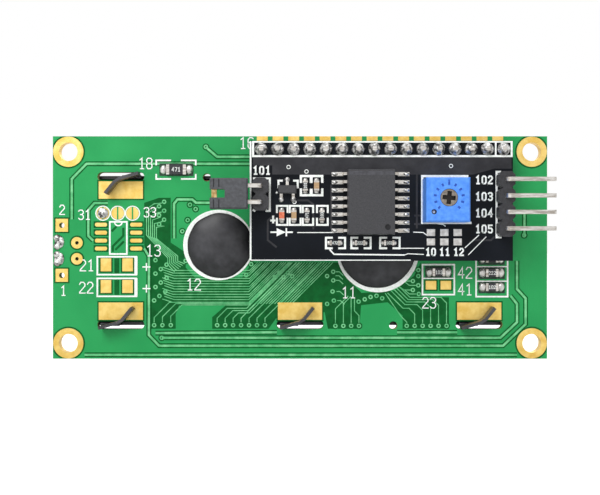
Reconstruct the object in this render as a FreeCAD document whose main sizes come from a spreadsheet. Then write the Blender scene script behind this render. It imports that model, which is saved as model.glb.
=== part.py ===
import FreeCAD, Part
import math
import os
import re

import Sketcher
from FreeCAD import Vector

# Character display module, 16 columns by 2 rows, with a serial adapter board soldered behind it.
# Millimetres. The module stands upright: +X is right as seen from the display side, +Z is up, and
# the display looks along -Y. The origin is the centre of the four corner holes on the front face
# of the main board, so the board fills Y from 0 to its thickness and the adapter lies behind it.

doc = FreeCAD.newDocument("character_lcd_module")
sheet = doc.addObject("Spreadsheet::Sheet", "Sizes")
pieces = []


# The driving dimensions. All places and sizes below are worked out from these.

dimensions = {
    "board_width": 80.0,  # main board, along X
    "board_height": 36.0,  # main board, along Z
    "board_thickness": 1.6,  # main board
    "corner_hole_inset": 2.5,  # corner holes from both edges
    "corner_hole_diameter": 3.0,  # screw holes of the main board
    "corner_ring_diameter": 4.9,  # copper ring round each corner hole
    "hole_plating": 0.05,  # plating that lines the corner holes
    "tooling_hole_diameter": 1.3,  # two small bare holes of the main board
    "tooling_hole_x": 15.1,  # each side of the middle
    "upper_tooling_hole_z": 11.35,  # right-hand tooling hole
    "lower_tooling_hole_z": -12.6,  # left-hand tooling hole
    "copper_rise": 0.05,  # copper and its plating above the board face

    "header_pin_count": 16,  # pins between the two boards
    "pitch": 2.54,  # spacing of all header pins
    "pin_width": 0.64,  # square header pins
    "header_end_inset": 8.0,  # pin 1 of the long header, from the left edge
    "header_inset": 2.5,  # the long header's row below the upper edge
    "header_hole_diameter": 1.0,  # plated holes of all header pins
    "header_pad_width": 1.76,  # long pads of the header row
    "header_pad_end_drop": 0.2,  # pad's round end, centre above the row
    "header_strip_height": 2.54,  # moulded strip between the boards
    "header_strip_width": 2.5,  # moulded strips, across the row
    "strip_corner": 0.55,  # chamfer between two segments of a strip
    "pin_front_reach": 1.35,  # pin ends in front of the main board
    "pin_back_reach": 1.15,  # pin ends behind the adapter board
    "front_joint_diameter": 1.55,  # solder cone on the header pads
    "front_joint_height": 0.95,  # solder cone on the header pads
    "back_joint_diameter": 2.1,  # solder dome on the adapter board
    "back_joint_height": 1.0,  # solder dome on the adapter board

    "bezel_side_margin": 4.35,  # bare board at each side of the folded frame
    "bezel_upper_margin": 6.3,  # bare board above the frame
    "bezel_lower_margin": 5.3,  # bare board below the frame
    "bezel_depth": 7.0,  # frame face in front of the board face
    "sheet_thickness": 0.5,  # steel of the frame
    "fold_radius": 0.4,  # outer radius of the folded edges
    "corner_relief": 0.57,  # square relief at each corner of the fold
    "rim_x": 3.15,  # frame face beside the opening
    "rim_z": 5.05,  # frame face above and below the opening
    "window_radius": 0.9,  # corners of the opening
    "bead_overhang": 0.15,  # pressed bead past each end of the opening
    "bead_width": 1.5,  # pressed bead
    "bead_inset": 2.05,  # bead centre from the frame's edge
    "bead_depth": 0.3,  # pressed bead
    "tab_width": 6.5,  # twist tab
    "tab_reach": 2.3,  # twist tab behind the main board
    "tab_neck": 3.0,  # half of a tab that comes out of the frame's wall
    "tab_tilt": 16.0,  # turn of the half over its neck
    "tab_angle": 35.0,  # further turn of the free half
    "tab_bend_radius": 1.0,  # inner radius of the twisted bend
    "tab_inset": 11.0,  # middle of the outer tabs from the board edge
    "tab_root": 0.15,  # from the main board to the turned part
    "slot_width": 7.6,  # slot for a tab, along X
    "slot_height": 1.5,  # slot for a tab, along Z
    "tab_pad_width": 7.15,  # plated landing of a tab
    "tab_pad_height": 2.8,  # plated landing of a tab
    "notch_height": 11.5,  # gap in the right wall, along Z
    "left_notch_height": 9.5,  # gap in the left wall, along Z
    "notch_clearance": 0.3,  # over the backlight's tongue

    "glass_clearance_x": 0.4,  # glass plates inside the frame
    "glass_clearance_z": 0.2,  # front glass inside the frame
    "strip_clearance": 0.2,  # beside a contact strip, to the glass and to the wall
    "glass_thickness": 1.1,  # each glass plate
    "polariser_thickness": 0.3,  # each polariser
    "front_polariser_overlap": 1.25,  # front polariser behind the rim
    "rear_polariser_inset": 0.6,  # rear polariser inside the rear glass
    "diffuser_thickness": 0.2,  # film behind the rear polariser
    "backlight_inset_x": 0.5,  # white frame inside the glass ends
    "backlight_inset_z": 0.6,  # white frame inside the rear glass
    "backlight_wall": 1.4,  # walls of the white frame
    "backlight_floor": 0.6,  # floor of the white frame
    "tongue_thickness": 3.0,  # tongue that holds the diodes
    "tongue_base": 11.1,  # tongue where it leaves the frame
    "tongue_tip": 5.0,  # tongue at its end
    "tongue_end_inset": 0.1,  # tongue's end inside the board edge
    "tongue_gap": 0.25,  # tongue above the board face
    "diode_strip_length": 9.0,  # diode strip in the tongue
    "diode_strip_width": 1.2,  # diode strip in the tongue
    "contact_strip_width": 2.0,  # rubber contact strips
    "contact_strip_inset": 2.75,  # ends of the rubber strips inside the glass
    "edge_joint_count": 4,  # solder joints of the backlight
    "edge_joint_pitch": 1.35,  # solder joints of the backlight
    "edge_joint_inset": 0.7,  # solder joints from the board edge
    "edge_joint_front_reach": 0.22,  # solder in front of the board
    "edge_joint_middle_z": -0.475,  # middle of the row
    "edge_joint_diameter": 1.2,  # solder lump
    "edge_joint_height": 0.45,  # solder lump
    "edge_joint_top": 0.5,  # width of the lump's top, as a share
    "edge_hole_diameter": 0.7,  # plated holes of the backlight

    "adapter_left_margin": 1.5,  # adapter board beyond pin 1
    "adapter_right_margin": 1.8,  # adapter board beyond the last pin
    "adapter_top_margin": 1.3,  # adapter board above the pins
    "adapter_height": 18.9,  # adapter board, along Z
    "adapter_thickness": 1.6,  # adapter board

    "right_angle_strip_height": 2.5,  # strips of the right-angle headers
    "pin_bend_radius": 0.2,  # inner radius of a bent pin
    "pin_tail": 0.9,  # tail of a bent pin in front of the adapter
    "pin_length": 7.4,  # bent pin, from its upright part to the tip
    "tip_taper": 0.4,  # length of the tapered tip
    "tail_joint_diameter": 1.5,  # solder in front of the adapter
    "tail_joint_height": 0.7,  # solder in front of the adapter
    "cone_foot": 0.15,  # straight foot of a solder cone, as a share of its height
    "dome_foot": 0.4,  # straight foot of a solder dome, as a share of its height
    "joint_collar": 0.08,  # solder round a pin at the cone's tip
    "serial_header_inset": 1.4,  # 4-pin header from the adapter's left edge
    "serial_header_drop": 6.24,  # its upper pin below the adapter's upper edge
    "serial_pin_count": 4,  # 4-pin header
    "jumper_header_inset": 1.77,  # 2-pin header from the adapter's right edge
    "jumper_header_drop": 7.24,  # its upper pin below the adapter's upper edge
    "jumper_pin_count": 2,  # 2-pin header

    "cap_distance": 1.9,  # jumper cap's mouth from the pins' upright parts
    "cap_length": 5.8,  # jumper cap, along X
    "cap_height": 4.7,  # jumper cap, along Z
    "cap_depth": 2.5,  # jumper cap, along Y
    "cap_edge": 0.2,  # chamfer of the jumper cap
    "cap_clearance": 0.08,  # round each pin in the cap
    "leaf_thickness": 0.25,  # contact in the cap
    "leaf_clearance": 0.05,  # between a pin and the contact
    "leaf_width": 0.7,  # contact in the cap, along Y
    "leaf_start": 0.6,  # contact behind the cap's mouth
    "bridge_length": 0.8,  # contact between the cap's ears
    "bridge_inset": 0.22,  # bridge behind the cap's end
    "cap_eye_length": 1.3,  # see-through eye of the cap

    "trimmer_inset": 10.9,  # trimmer's middle from the adapter's left edge
    "trimmer_drop": 9.5,  # trimmer's middle below the adapter's upper edge
    "trimmer_width": 6.7,  # trimmer, along X
    "trimmer_length": 6.8,  # trimmer, along Z
    "trimmer_height": 4.9,  # trimmer above the adapter
    "trimmer_foot": 0.4,  # feet under the trimmer
    "trimmer_foot_width": 0.4,  # feet under the trimmer, outside the legs
    "trimmer_edge": 0.25,  # chamfer of the trimmer
    "rotor_offset_x": -0.1,  # adjusting screw from the trimmer's middle
    "rotor_offset_z": 0.3,  # adjusting screw from the trimmer's middle
    "rotor_diameter": 2.6,  # adjusting screw
    "rotor_thickness": 1.15,  # adjusting screw
    "rotor_clearance": 0.06,  # round and under the adjusting screw
    "rotor_sink": 0.1,  # screw below the trimmer's face
    "rotor_slot_width": 0.68,  # cross slot
    "rotor_slot_length": 2.0,  # cross slot
    "rotor_slot_depth": 0.6,  # cross slot
    "rotor_turn": 6.0,  # set angle of the cross slot
    "dial_mark_count": 11,  # marks round the screw
    "dial_mark_radius": 2.1,  # middle of the marks
    "dial_mark_length": 0.5,  # marks round the screw
    "dial_mark_width": 0.2,  # marks round the screw
    "dial_mark_depth": 0.1,  # marks round the screw
    "dial_range": 270.0,  # arc that the marks cover
    "marker_hole_x": 2.2,  # small moulded hole, from the trimmer's middle
    "marker_hole_z": -1.84,  # small moulded hole, from the trimmer's middle
    "marker_hole_diameter": 0.8,  # small moulded hole
    "marker_hole_depth": 0.5,  # small moulded hole
    "trimmer_pin_diameter": 0.6,  # trimmer legs
    "trimmer_pin_spread": 2.54,  # outer legs from the middle one

    "chip_inset": 19.0,  # expander chip's middle from the adapter's right edge
    "chip_drop": 9.7,  # expander chip's middle below the adapter's upper edge
    "chip_width": 7.5,  # moulded body, along X
    "chip_length": 10.3,  # moulded body, along Z
    "chip_height": 2.25,  # moulded body
    "chip_standoff": 0.1,  # under the moulded body
    "chip_draft": 7.0,  # draft of the moulded sides
    "lead_pitch": 1.27,  # chip leads
    "leads_per_side": 8,  # chip leads
    "lead_width": 0.42,  # chip leads
    "lead_thickness": 0.25,  # all gull-wing leads
    "lead_span": 10.3,  # across the chip's feet
    "lead_foot": 0.8,  # length of a foot
    "lead_shoulder": 0.35,  # flat part beside the body
    "lead_bend": 0.4,  # share of a lead's bend beyond its knee
    "mould_line": 0.45,  # level of a moulded body's parting line, as a share
    "chip_pad_end": 6.1,  # outer end of a chip pad
    "chip_pad_start": 4.3,  # inner end of a chip pad
    "chip_pad_width": 0.62,  # chip pads
    "dimple_diameter": 0.84,  # mark of the first lead
    "dimple_inset": 1.3,  # mark from the body's edges
    "dimple_depth": 0.12,  # mark of the first lead

    "transistor_inset": 5.9,  # transistor's middle from the adapter's right edge
    "transistor_drop": 7.7,  # transistor's middle below the adapter's upper edge
    "transistor_standoff": 0.05,  # under the moulded body
    "transistor_shoulder": 0.12,  # flat part of a lead beside the body
    "transistor_edge": 0.15,  # chamfer of the moulded body
    "transistor_width": 2.9,  # moulded body, along X
    "transistor_length": 1.3,  # moulded body, along Z
    "transistor_height": 1.0,  # moulded body
    "transistor_span": 2.5,  # across the feet
    "transistor_lead_width": 0.45,  # leads
    "transistor_lead_spread": 0.95,  # outer leads from the middle
    "transistor_foot": 0.35,  # length of a foot

    "small_chip_length": 1.6,  # small chip parts
    "small_chip_width": 0.8,  # small chip parts
    "small_chip_height": 0.5,  # small chip parts
    "small_chip_end": 0.3,  # their plated ends
    "medium_chip_length": 2.0,  # medium chip resistors
    "medium_chip_width": 1.25,  # medium chip resistors
    "medium_chip_end": 0.4,  # their plated ends
    "large_chip_length": 3.2,  # large chip resistor
    "large_chip_width": 1.6,  # large chip resistor
    "large_chip_end": 0.5,  # its plated ends
    "resistor_height": 0.55,  # chip resistors of the main board
    "upper_row_drop": 7.1,  # two upright chip parts below the adapter's upper edge
    "middle_row_drop": 11.75,  # four upright chip parts below the same edge
    "lower_row_drop": 16.08,  # three flat-lying resistors below the same edge
    "upper_resistor_inset": 8.73,  # upper row, from the adapter's right edge
    "upper_capacitor_inset": 10.5,  # upper row, from the same edge
    "power_diode_inset": 5.04,  # middle row, from the same edge
    "middle_capacitor_inset": 6.94,  # middle row, from the same edge
    "middle_resistor_inset": 9.0,  # middle row, from the same edge
    "outer_resistor_inset": 11.35,  # middle row, from the same edge
    "lower_resistor_inset": 13.38,  # lower row, from the same edge
    "lower_resistor_pitch": 3.94,  # lower row, first to second resistor
    "lower_resistor_span": 8.51,  # lower row, first to third resistor
    "power_diode_height": 0.7,  # power diode

    "large_resistor_inset": 20.0,  # large resistor, from the right edge
    "large_resistor_z": 12.6,  # main board
    "bias_resistor_inset": 17.6,  # main board, from the left edge
    "bias_resistor_z": -4.0,  # main board
    "stack_resistor_inset": 9.0,  # three resistors, from the left edge
    "stack_resistor_top_z": -1.8,  # their upper one
    "stack_resistor_pitch": 2.3,  # from one to the next

    "controller_share": 0.165,  # black dome: its X as a share of the board width
    "controller_z": 0.4,  # black dome
    "controller_radius": 5.35,  # black dome
    "driver_inset": 27.4,  # larger black dome, from the left edge
    "driver_z": -0.6,  # larger black dome
    "driver_radius": 6.3,  # larger black dome
    "dome_height": 1.25,  # both domes
    "dome_shoulder": 0.75,  # radius of the shoulder, as a share
    "dome_shoulder_level": 0.7,  # height of the shoulder, as a share
    "dome_edge": 0.12,  # thin edge of a dome
    "dam_width": 0.35,  # white ring round a dome
    "dam_rise": 0.08,  # white ring round a dome

    "link_pad_radius": 1.0,  # split round pads
    "link_pad_gap": 0.26,  # split of a pad
    "link_pad_z": 5.55,  # split round pads
    "link_pad_inset": 8.1,  # the split pad bridged with solder, from the right edge
    "link_pad_pitch": 2.4,  # from one split pad to the next
    "link_solder_radius": 0.92,  # solder on the first split pad
    "link_solder_height": 0.35,  # solder on the first split pad
    "unused_pad_width": 1.95,  # pads of the chip that isn't fitted
    "unused_pad_height": 0.62,  # pads of the chip that isn't fitted
    "unused_pad_outer_inset": 7.8,  # its outer column, from the right edge
    "unused_pad_inner_inset": 13.5,  # its inner column, from the right edge
    "unused_pad_top_z": 3.7,  # its upper row
    "unused_pad_rows": 4,  # rows of its pads
    "unused_pad_pitch": 1.29,  # from one row to the next
    "capacitor_pad_width": 1.7,  # pads of parts that aren't fitted
    "capacitor_pad_height": 2.1,  # their tall pads
    "capacitor_pad_low_height": 1.4,  # their low pads
    "tall_pad_outer_inset": 8.6,  # pads of two capacitors that aren't fitted, right edge
    "tall_pad_inner_inset": 12.1,  # pads of two capacitors that aren't fitted, right edge
    "tall_pad_upper_z": -2.8,  # pads of the upper one
    "tall_pad_lower_z": -6.3,  # pads of the lower one
    "low_pad_outer_inset": 16.4,  # pads of a capacitor that isn't fitted, from the left edge
    "low_pad_inner_inset": 18.8,  # pads of a capacitor that isn't fitted, from the left edge
    "low_pad_z": -6.1,  # pads of a capacitor that isn't fitted
    "test_pad_diameter": 1.86,  # round test pads
    "test_hole_diameter": 0.6,  # their holes
    "test_pad_inset": 3.9,  # round test pads from the board edge
    "upper_test_pad_z": 0.76,  # upper test pad
    "lower_test_pad_z": -1.83,  # lower test pad
    "supply_pad_width": 2.0,  # pads beside the tongue
    "supply_pad_height": 2.1,  # pads beside the tongue
    "supply_pad_inset": 1.45,  # pads beside the tongue from the board edge
    "supply_hole_diameter": 0.9,  # their holes
    "upper_supply_pad_z": 3.6,  # upper pad
    "lower_supply_pad_z": -4.5,  # lower pad
    "address_pad_width": 1.3,  # open solder pads of the adapter
    "address_pad_height": 1.08,  # open solder pads of the adapter
    "address_pad_inset": 12.9,  # the first pair from the adapter's left edge
    "address_pad_pitch": 2.1,  # from one pair to the next
    "address_upper_drop": 14.45,  # their upper row below the adapter's upper edge
    "address_lower_drop": 15.92,  # their lower row below the adapter's upper edge
}

for row, (name, number) in enumerate(dimensions.items(), start=1):
    sheet.set(f"A{row}", name)
    sheet.set(f"B{row}", str(number))
    sheet.setAlias(f"B{row}", name)
doc.recompute()


# Places that follow from the driving dimensions

MAIN_BACK = "board_thickness"
RIGHT_EDGE = "(board_width/2)"
LEFT_EDGE = "(-board_width/2)"
HEADER_Z = "(board_height/2-header_inset)"
HEADER_FIRST_X = f"({LEFT_EDGE}+header_end_inset)"
HEADER_LAST_X = f"({HEADER_FIRST_X}+pitch*(header_pin_count-1))"
ADAPTER_FRONT = "(board_thickness+copper_rise+header_strip_height)"
ADAPTER_BACK = "(board_thickness+copper_rise+header_strip_height+adapter_thickness)"
PIN_AXIS = f"({ADAPTER_BACK}+right_angle_strip_height+pin_bend_radius+pin_width/2)"
FACE_BACK = "(sheet_thickness-bezel_depth)"
GLASS_FRONT = f"({FACE_BACK}+polariser_thickness)"
LEDGE = f"({GLASS_FRONT}+glass_thickness)"
REAR_GLASS_BACK = f"({GLASS_FRONT}+2*glass_thickness)"
FILM_FRONT = f"({REAR_GLASS_BACK}+polariser_thickness)"
BACKLIGHT_FRONT = f"({FILM_FRONT}+diffuser_thickness)"
BEZEL_WIDTH = "(board_width-2*bezel_side_margin)"
BEZEL_HEIGHT = "(board_height-bezel_upper_margin-bezel_lower_margin)"
BEZEL_Z = "((bezel_lower_margin-bezel_upper_margin)/2)"
WALL_MIDDLE = f"({BEZEL_HEIGHT}/2-sheet_thickness/2)"
WINDOW_WIDTH = f"({BEZEL_WIDTH}-2*rim_x)"
WINDOW_HEIGHT = f"({BEZEL_HEIGHT}-2*rim_z)"
GLASS_WIDTH = f"({BEZEL_WIDTH}-2*sheet_thickness-2*glass_clearance_x)"
FRONT_GLASS_HEIGHT = f"({BEZEL_HEIGHT}-2*sheet_thickness-2*glass_clearance_z)"
STRIP_OFFSET = f"({BEZEL_HEIGHT}/2-sheet_thickness-strip_clearance-contact_strip_width/2)"
REAR_GLASS_HEIGHT = f"(2*{STRIP_OFFSET}-contact_strip_width-2*strip_clearance)"
BACKLIGHT_WIDTH = f"({GLASS_WIDTH}-2*backlight_inset_x)"
BACKLIGHT_HEIGHT = f"({REAR_GLASS_HEIGHT}-2*backlight_inset_z)"
EDGE_JOINT_X = f"({RIGHT_EDGE}-edge_joint_inset)"
SUPPLY_X = f"({RIGHT_EDGE}-supply_pad_inset)"
TEST_X = f"({RIGHT_EDGE}-test_pad_inset)"
ADAPTER_LEFT = f"({HEADER_FIRST_X}-adapter_left_margin)"
ADAPTER_RIGHT = f"({HEADER_LAST_X}+adapter_right_margin)"
ADAPTER_TOP = f"({HEADER_Z}+adapter_top_margin)"
SERIAL_X = f"({ADAPTER_LEFT}+serial_header_inset)"
SERIAL_TOP_Z = f"({ADAPTER_TOP}-serial_header_drop)"
JUMPER_X = f"({ADAPTER_RIGHT}-jumper_header_inset)"
JUMPER_TOP_Z = f"({ADAPTER_TOP}-jumper_header_drop)"
CAP_START = f"({JUMPER_X}+cap_distance)"
CAP_END = f"({CAP_START}+cap_length)"
CAP_Z = f"({JUMPER_TOP_Z}-pitch/2)"
TRIMMER_X = f"({ADAPTER_LEFT}+trimmer_inset)"
TRIMMER_Z = f"({ADAPTER_TOP}-trimmer_drop)"
ROTOR_X = f"({TRIMMER_X}+rotor_offset_x)"
ROTOR_Z = f"({TRIMMER_Z}+rotor_offset_z)"
TRIMMER_FACE = f"({ADAPTER_BACK}+trimmer_height)"
CHIP_X = f"({ADAPTER_RIGHT}-chip_inset)"
CHIP_Z = f"({ADAPTER_TOP}-chip_drop)"
TRANSISTOR_X = f"({ADAPTER_RIGHT}-transistor_inset)"
TRANSISTOR_Z = f"({ADAPTER_TOP}-transistor_drop)"


def bound(text):
    """The expression with every size name pointed at its cell."""
    pattern = r"\b[a-z][a-z_0-9]*\b"
    return re.sub(pattern, lambda m: f"Sizes.{m[0]}" if m[0] in dimensions else m[0], str(text))


def number(text):
    """The present value of an expression."""
    result = sheet.evalExpression(bound(text))
    return float(getattr(result, "Value", result))


# Bodies, sketches and features

def new_body(label):
    """An empty sub-part, whose label names its file."""
    body = doc.addObject("PartDesign::Body", label)
    body.Label = label
    pieces.append(body)
    return body


def origin_feature(body, role):
    """A plane or an axis of the body's own origin."""
    return next(f for f in body.Origin.OriginFeatures if f.Role == role)


def new_sketch(body, name, role, shift=("0", "0", "0")):
    """A sketch on one of the body's origin planes, shifted in the plane's own axes."""
    sketch = body.newObject("Sketcher::SketchObject", name)
    sketch.AttachmentSupport = [(origin_feature(body, role), "")]
    sketch.MapMode = "FlatFace"
    for axis, text in zip("xyz", shift):
        if text != "0":
            sketch.setExpression(f"AttachmentOffset.Base.{axis}", bound(text))
    return sketch


def bind_point(sketch, geometry, vertex, across, up):
    """Hold a vertex at a place given by two expressions."""
    for kind, text in (("DistanceX", across), ("DistanceY", up)):
        index = sketch.addConstraint(
            Sketcher.Constraint(kind, -1, 1, geometry, vertex, number(text))
        )
        bind_constraint(sketch, index, text)


def bind_constraint(sketch, index, text):
    """Tie a constraint to an expression that holds a driving dimension."""
    if bound(text) != str(text):
        sketch.setExpression(f"Constraints[{index}]", bound(text))


def disc(x, z, diameter):
    """A circle to draw."""
    return ("disc", x, z, diameter)


def outline(corners, arcs=None):
    """A closed outline; arcs gives the radius and the bulging side of an edge by its number."""
    return ("outline", corners, arcs or {})


def box(x, z, width, height):
    """A rectangle about its middle."""
    left, right = f"({x})-({width})/2", f"({x})+({width})/2"
    low, high = f"({z})-({height})/2", f"({z})+({height})/2"
    return outline([(left, low), (right, low), (right, high), (left, high)])


def cut_box(x, z, width, height, corner):
    """A rectangle about its middle with its corners cut off."""
    side_x, side_z = f"({width})/2", f"({height})/2"
    near_x, near_z = f"({side_x}-{corner})", f"({side_z}-{corner})"
    return outline([
        (f"({x})-{near_x}", f"({z})-{side_z}"), (f"({x})+{near_x}", f"({z})-{side_z}"),
        (f"({x})+{side_x}", f"({z})-{near_z}"), (f"({x})+{side_x}", f"({z})+{near_z}"),
        (f"({x})+{near_x}", f"({z})+{side_z}"), (f"({x})-{near_x}", f"({z})+{side_z}"),
        (f"({x})-{side_x}", f"({z})+{near_z}"), (f"({x})-{side_x}", f"({z})-{near_z}"),
    ])


def octagon(x, z, width):
    """A regular eight-sided outline about its middle, by its width across flats."""
    return cut_box(x, z, width, width, f"({width})/(2+sqrt(2))")


def pill(x, z, width, height):
    """A long pad whose round ends are drawn with half an octagon each."""
    return cut_box(x, z, width, height, f"({height})/(2+sqrt(2))")


def span(left, right, low, high):
    """A rectangle from its four sides."""
    return outline([(left, low), (right, low), (right, high), (left, high)])


def turned_box(x, z, width, height, angle):
    """A rectangle turned about its middle."""
    corners = []
    for a, b in ((-1, -1), (1, -1), (1, 1), (-1, 1)):
        across = f"{a}*({width})/2"
        up = f"{b}*({height})/2"
        corners.append((
            f"({x})+({across})*cos({angle})-({up})*sin({angle})",
            f"({z})+({across})*sin({angle})+({up})*cos({angle})",
        ))
    return outline(corners)


def stadium(x, z, width, height):
    """A long slot shape with round ends, along the first axis."""
    half, radius = f"(({width})-({height}))/2", f"({height})/2"
    corners = [
        (f"({x})-{half}", f"({z})-{radius}"),
        (f"({x})+{half}", f"({z})-{radius}"),
        (f"({x})+{half}", f"({z})+{radius}"),
        (f"({x})-{half}", f"({z})+{radius}"),
    ]
    return outline(corners, {
        1: (radius, 1, ("DistanceX", f"({x})+{half}")),
        3: (radius, 1, ("DistanceX", f"({x})-{half}")),
    })


def draw(sketch, shape):
    """Add a disc or an outline to the sketch, fully constrained."""
    if shape[0] == "disc":
        _, x, z, diameter = shape
        centre = Vector(number(x), number(z), 0)
        circle = Part.Circle(centre, Vector(0, 0, 1), number(diameter) / 2)
        geometry = sketch.addGeometry(circle, False)
        index = sketch.addConstraint(
            Sketcher.Constraint("Diameter", geometry, number(diameter))
        )
        bind_constraint(sketch, index, diameter)
        bind_point(sketch, geometry, 3, x, z)
        return
    _, corners, arcs = shape
    points = [Vector(number(a), number(b), 0) for a, b in corners]
    edges = []
    for i, start in enumerate(points):
        end = points[(i + 1) % len(points)]
        if i in arcs:
            edge = arc_edge(start, end, number(arcs[i][0]), arcs[i][1])
        else:
            edge = Part.LineSegment(start, end)
        edges.append(sketch.addGeometry(edge, False))
    for i, geometry in enumerate(edges):
        first, last = (2, 1) if i in arcs and arcs[i][1] < 0 else (1, 2)
        following = (i + 1) % len(edges)
        next_first = 2 if following in arcs and arcs[following][1] < 0 else 1
        sketch.addConstraint(
            Sketcher.Constraint("Coincident", geometry, last, edges[following], next_first)
        )
        bind_point(sketch, geometry, first, *corners[i])
        if i in arcs:
            bind_arc(sketch, geometry, *arcs[i])


def bind_arc(sketch, geometry, radius, side, centre=None):
    """Hold an arc between fixed ends: by its radius, or a half circle by its centre."""
    if centre is None:
        constraint = Sketcher.Constraint("Radius", geometry, number(radius))
        text = radius
    else:
        kind, text = centre
        constraint = Sketcher.Constraint(kind, -1, 1, geometry, 3, number(text))
    bind_constraint(sketch, sketch.addConstraint(constraint), text)


def arc_edge(start, end, radius, side):
    """A short arc between two points; side 1 bulges to the right of the way from start to end."""
    middle = (start + end) / 2
    along = (end - start) / 2
    outward = Vector(along.y, -along.x, 0).normalize() * side
    rise = radius - math.sqrt(max(radius ** 2 - along.Length ** 2, 0))
    return Part.Arc(start, middle + outward * rise, end)


def feature(body, kind, name, sketch, length, reverse=False, both=False):
    """A pad or a pocket of the sketch."""
    item = body.newObject(f"PartDesign::{kind}", name)
    item.Profile = sketch
    item.setExpression("Length", bound(length))
    item.Reversed = reverse
    if both:
        item.SideType = "Symmetric"
    body.Tip = item
    return item


def slab(body, name, front, depth, *shapes):
    """Add the shapes, drawn as seen from the display side, from a depth towards the back."""
    sketch = new_sketch(body, f"{name}_sketch", "XZ_Plane", ("0", "0", f"-({front})"))
    for shape in shapes:
        draw(sketch, shape)
    return feature(body, "Pad", name, sketch, depth, reverse=True)


def cut(body, name, front, depth, *shapes):
    """Cut the shapes, drawn as seen from the display side, from a depth towards the back."""
    sketch = new_sketch(body, f"{name}_sketch", "XZ_Plane", ("0", "0", f"-({front})"))
    for shape in shapes:
        draw(sketch, shape)
    return feature(body, "Pocket", name, sketch, depth)


def bar(body, name, role, level, width, *shapes):
    """Add the shapes, drawn in a plane at the level, spread evenly to both sides of it."""
    sketch = new_sketch(body, f"{name}_sketch", role, ("0", "0", level))
    for shape in shapes:
        draw(sketch, shape)
    return feature(body, "Pad", name, sketch, width, both=True)


def turned(body, name, x, z, shape):
    """Revolve a profile of radius and depth about the line along Y through x and z."""
    sketch = new_sketch(body, f"{name}_sketch", "XY_Plane", (x, "0", z))
    draw(sketch, shape)
    item = body.newObject("PartDesign::Revolution", name)
    item.Profile = sketch
    item.ReferenceAxis = (sketch, ["V_Axis"])
    item.Angle = 360
    body.Tip = item
    return item


def stepped(body, name, levels):
    """Straight-sided solid through outlines at their depths."""
    sections = []
    for step, (depth, shape) in enumerate(levels):
        sketch = new_sketch(body, f"{name}_section_{step}", "XZ_Plane", ("0", "0", f"-({depth})"))
        draw(sketch, shape)
        sections.append(sketch)
    item = body.newObject("PartDesign::AdditiveLoft", name)
    item.Profile = sections[0]
    item.Sections = sections[1:]
    item.Ruled = True
    body.Tip = item
    return item


def repeat(body, name, features, axis, spacing, count, reverse=False):
    """A row of copies along one of the body's own axes."""
    pattern = body.newObject("PartDesign::LinearPattern", name)
    pattern.Originals = features
    pattern.Direction = (origin_feature(body, axis), [""])
    pattern.setExpression("Length", bound(f"({spacing})*({count}-1)"))
    pattern.setExpression("Occurrences", bound(count))
    pattern.Reversed = reverse
    body.Tip = pattern
    return pattern


def edges_where(shape, test):
    """Names of the straight or round edges whose middle passes the test."""
    names = []
    for number_of_edge, edge in enumerate(shape.Edges, start=1):
        if test(edge.CenterOfMass, edge):
            names.append(f"Edge{number_of_edge}")
    return names


def dress(body, kind, name, base, radius, test):
    """Fillet or chamfer the edges of the base that pass the test."""
    doc.recompute()
    item = body.newObject(f"PartDesign::{kind}", name)
    item.Base = (base, edges_where(base.Shape, test))
    item.setExpression("Radius" if kind == "Fillet" else "Size", bound(radius))
    body.Tip = item
    return item


# Main board and its copper

def corner_places():
    """The four corner holes."""
    half_x, half_z = "(board_width/2-corner_hole_inset)", "(board_height/2-corner_hole_inset)"
    return [(f"{a}*{half_x}", f"{b}*{half_z}") for a in (-1, 1) for b in (-1, 1)]


def tab_places():
    """The six twist tabs: middle of each along X, and 1 for the upper or -1 for the lower wall."""
    return [(f"{a}*({RIGHT_EDGE}-tab_inset)", b) for b in (1, -1) for a in (-1, 0, 1)]


def tab_wall_z(side):
    """Height of the middle of the upper or lower wall of the frame."""
    return f"({BEZEL_Z}+({side})*{WALL_MIDDLE})"


def supply_places():
    """The two pads beside the backlight's tongue."""
    return [(SUPPLY_X, "upper_supply_pad_z"), (SUPPLY_X, "lower_supply_pad_z")]


def test_places():
    """The two round test pads."""
    return [(TEST_X, "upper_test_pad_z"), (TEST_X, "lower_test_pad_z")]


def make_main_board():
    body = new_body("main_board")
    slab(body, "plate", "0", "board_thickness", box("0", "0", "board_width", "board_height"))
    cut(body, "corner_holes", "0", "board_thickness",
        *[disc(x, z, "(corner_hole_diameter+2*hole_plating)") for x, z in corner_places()])
    cut(body, "tooling_holes", "0", "board_thickness",
        disc("tooling_hole_x", "upper_tooling_hole_z", "tooling_hole_diameter"),
        disc("-tooling_hole_x", "lower_tooling_hole_z", "tooling_hole_diameter"))
    cut(body, "tab_slots", "0", "board_thickness",
        *[stadium(x, tab_wall_z(side), "slot_width", "slot_height") for x, side in tab_places()])
    cut(body, "supply_holes", "0", "board_thickness",
        *[disc(x, z, "supply_hole_diameter") for x, z in supply_places()],
        *[disc(x, z, "test_hole_diameter") for x, z in test_places()])
    hole = cut(body, "first_header_hole", "0", "board_thickness",
               octagon(HEADER_FIRST_X, HEADER_Z, "header_hole_diameter"))
    repeat(body, "header_holes", [hole], "X_Axis", "pitch", "header_pin_count")
    edge_hole = cut(body, "first_edge_hole", "0", "board_thickness",
                    octagon(EDGE_JOINT_X, edge_joint_top(), "edge_hole_diameter"))
    repeat(body, "edge_holes", [edge_hole], "Z_Axis", "edge_joint_pitch", "edge_joint_count", True)


def edge_joint_top():
    """Height of the upper solder joint of the backlight."""
    return "(edge_joint_middle_z+edge_joint_pitch*(edge_joint_count-1)/2)"


def both_faces(body, name, *shapes):
    """Copper on the front and on the back of the main board."""
    slab(body, f"{name}_front", "-copper_rise", "copper_rise", *shapes)
    slab(body, f"{name}_back", MAIN_BACK, "copper_rise", *shapes)


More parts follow.
